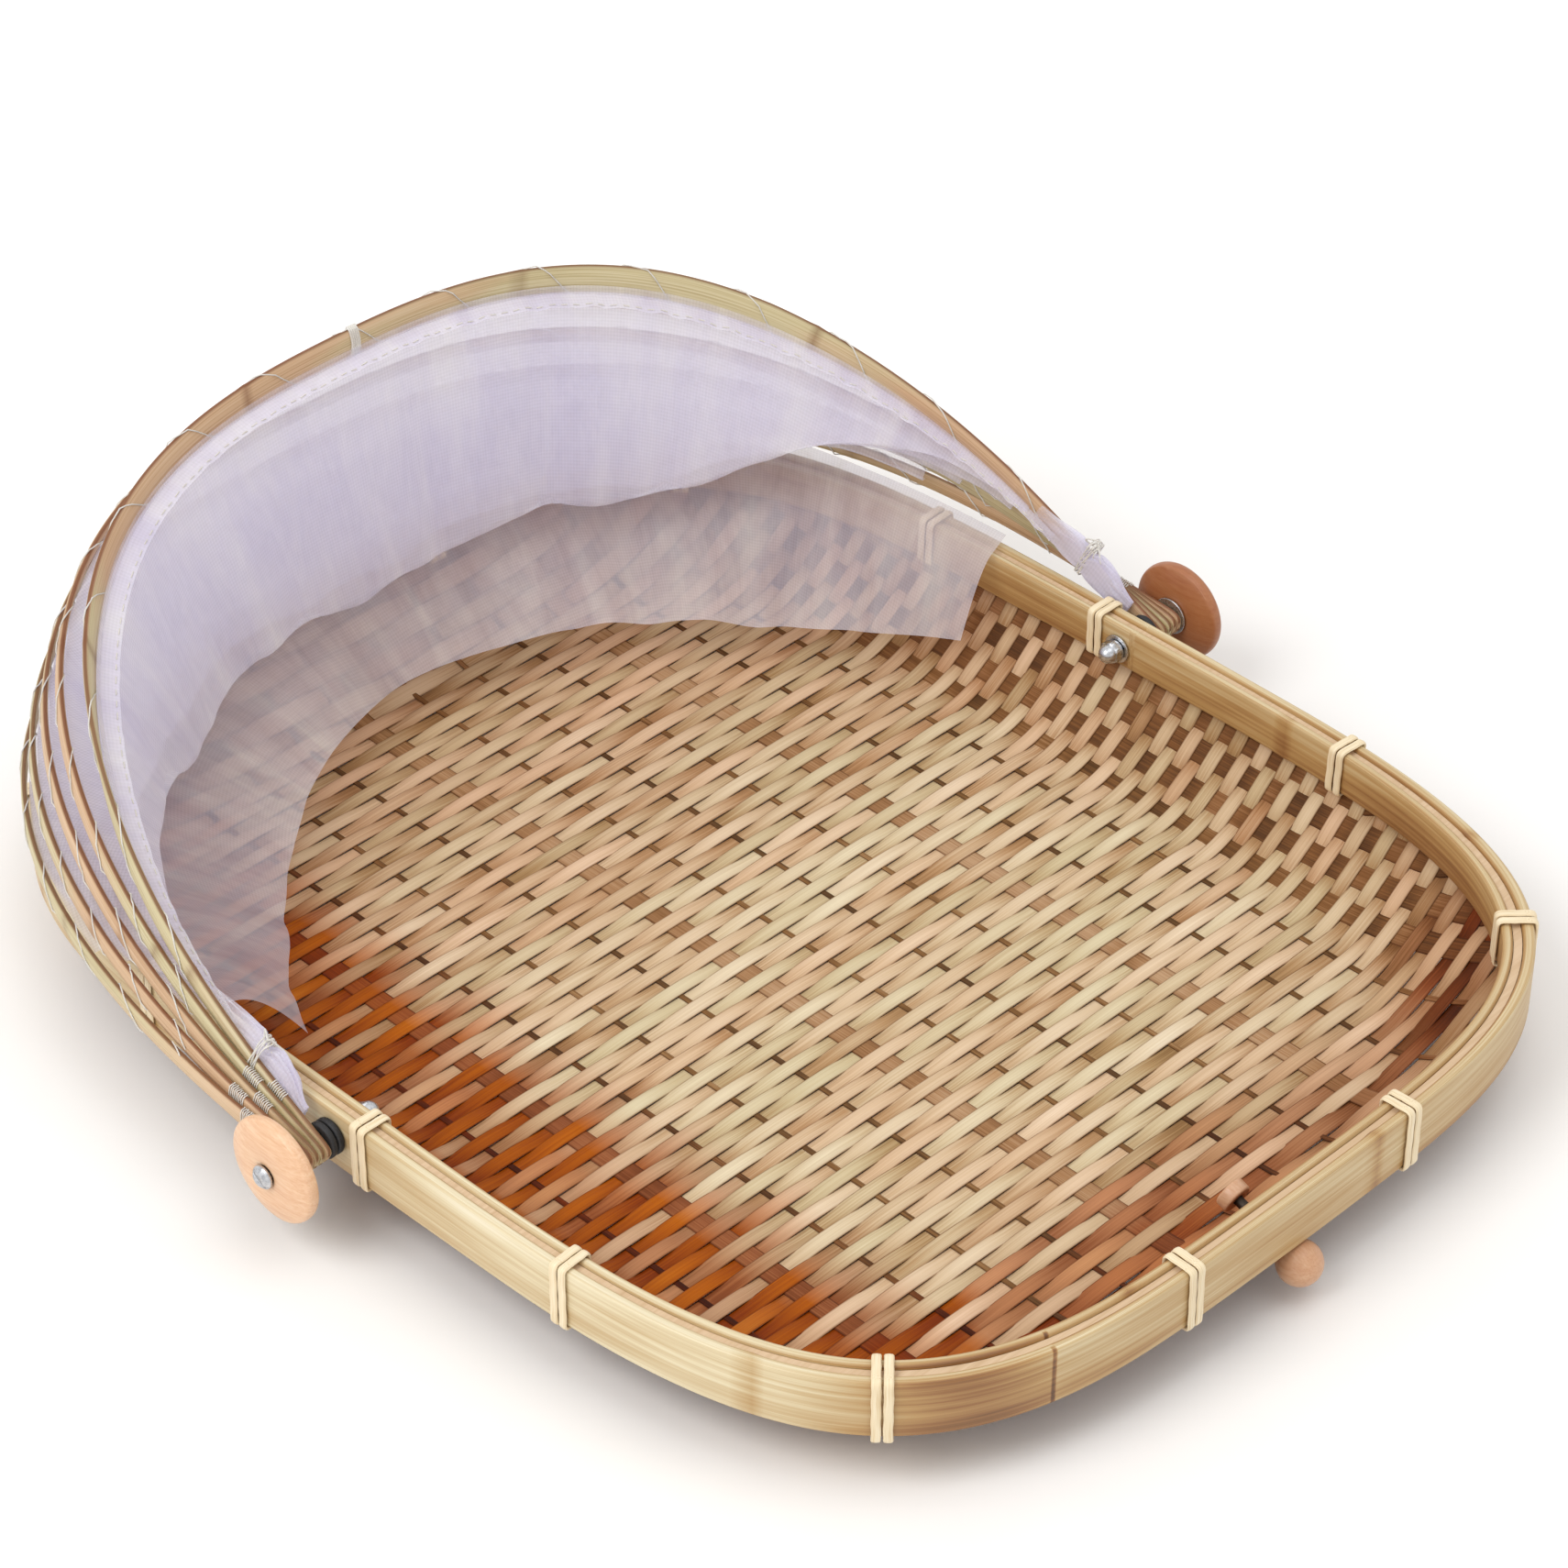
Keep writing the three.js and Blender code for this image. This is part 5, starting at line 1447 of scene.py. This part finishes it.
for side, place_name in ((-1, "left"), (1, "right")):
    rings, grains, spreads = [], [], []
    turn = np.linspace(0, 2 * np.pi, 108, endpoint=False)
    for step in range(tail_rings + 1):
        radius = tail_start + (tail_end - tail_start) * step / tail_rings
        fan = np.clip((radius - binding_radius - 3) / (tail_end - binding_radius - 3), 0, 1)
        gathered = 1 - bump_at(radius, tail_start, 7)
        pinch = 1 - 0.3 * bump_at(radius, binding_radius + binding_length / 2, 2.2)
        thick, tall = (
            (small + (large - small) * gathered) * pinch for small, large in (bundle_depths, bundle_heights)
        )
        thick, tall = thick * (1 - 0.6 * fan), tall - 3.5 * fan
        flute = 1 + 0.22 * np.cos(flutes * turn + 3 * radius / 20) + 0.1 * np.cos(14 * turn - radius / 5)
        depth = np.clip(thick / 2 * (1 - np.cos(turn) * flute), 0, tail_room)
        swing = tall / 2 * np.sin(turn) * (0.5 + 0.5 * flute) - tall / 2 + 2 + 2.5 * fan
        beside = side * (leg_side(radius, rib_thickness / 2 + seat_gap) - depth)
        rings.append(swung(beside, radius, swing, rib_angle(0)))
        grains.append(rows_of(turn * 3, radius, 0))
        spreads.append(np.full_like(turn, fan))
    points, faces = solid_of(np.array(rings))
    marks = {"grain": np.concatenate(grains), "spread": np.concatenate(spreads)}
    tail = make_piece(f"gathered_gauze_{place_name}", [(points, faces, marks)], bundle_gauze, sharp=75)
    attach(tail, "rib_front")
    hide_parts(f"gauze_tail_{place_name}")
    t = np.linspace(0, 1, 40 * binding_turns)
    turn = 2 * np.pi * binding_turns * t
    across, swing = oval(turn, 1, 1, 4)
    radius = binding_radius + binding_length * t + 0.3 * np.sin(2.3 * turn)
    leg = np.array([leg_side(place, 0) for place in radius])
    core = swung(side * (leg - binding_depth), radius, -binding_drop, rib_angle(0))
    beside = side * (leg - binding_depth - 2.75 * across)
    path = swung(beside, radius, 7.4 * swing - binding_drop, rib_angle(0))
    loops = [thread_solid(path, core, 0.2)]
    t = np.linspace(0, 1, 30)
    bow = np.sin(np.pi * t)
    for number in range(loop_count):
        lean = 0.9 * number
        loop_radius = binding_radius + binding_length / 2 + 3.6 * bow * math.cos(lean) - 1.2 * number * t
        beside = side * (leg[0] - 1.2 - 2.4 * bow - 0.3 * number)
        swing = -11.5 + 3.4 * t + 2.4 * bow * math.sin(lean)
        path = swung(beside, loop_radius, swing, rib_angle(0))
        loops.append(thread_solid(path, path - np.array([0, 3, 3]), 0.24))
    binding = make_piece(f"tail_binding_{place_name}", loops, thread_finish, sharp=80)
    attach(binding, "rib_front")

# The string on the front rib: white cotton wound over the rib and its hem, a little to the right
# of the top, and finished in a small knot with two frayed ends.
knot_share = 0.512
knot_turns = 5
knot_length = 3.4
string_radius = 0.34
ball_rise = 1.9
knot_top = on_rib(0, np.array(knot_share), 0, 0)
knot_out = unit(knot_top - on_rib(0, np.array(knot_share), 2, 0))
knot_side = unit(on_rib(0, np.array(knot_share), 0, 2) - knot_top)
knot_along = np.cross(knot_side, knot_out)


def by_knot(aside, out, along):
    """Places from the knot's middle on the rib: across the rib, away from it and along it."""
    return knot_top + np.outer(aside, knot_side) + np.outer(out, knot_out) + np.outer(along, knot_along)


t = np.linspace(0, 1, 150)
turn = 2 * np.pi * knot_turns * t
aside, out = oval(turn, 1, 1, 5)
path = by_knot(
    aside * (front_rib_width / 2 + 0.45), out * 1.15,
    (t - 0.5) * knot_length + 0.3 * np.sin(3 * turn),
)
strings = [thread_solid(path, np.tile(knot_top, (len(path), 1)), string_radius, 8)]
turn = np.linspace(0, 2 * np.pi, 36)
ball = knot_top + knot_out * ball_rise
for number in range(3):
    reach = 1.5 * np.cos(turn)
    path = by_knot(
        reach * math.cos(number), ball_rise + 0.9 * np.sin(turn) + 0.2 * number,
        reach * math.sin(number) + 0.4 * np.sin(2 * turn + number),
    )
    strings.append(thread_solid(path, np.tile(ball, (len(path), 1)), 0.36, 8))
t = np.linspace(0, 1, 12)
for lean, reach in ((0.5, 6), (-0.8, 5)):
    out = 2.2 + 1.5 * np.sin(2.4 * t) - 1.6 * t * t
    path = by_knot(reach * t * math.cos(lean), out, reach * t * math.sin(lean))
    strings.append(thread_solid(path, path - knot_out, string_radius - 0.12 * t, 7))
knot = make_piece("string_bow", strings, thread_finish, sharp=80)
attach(knot, "rib_front")
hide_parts("string_knot")
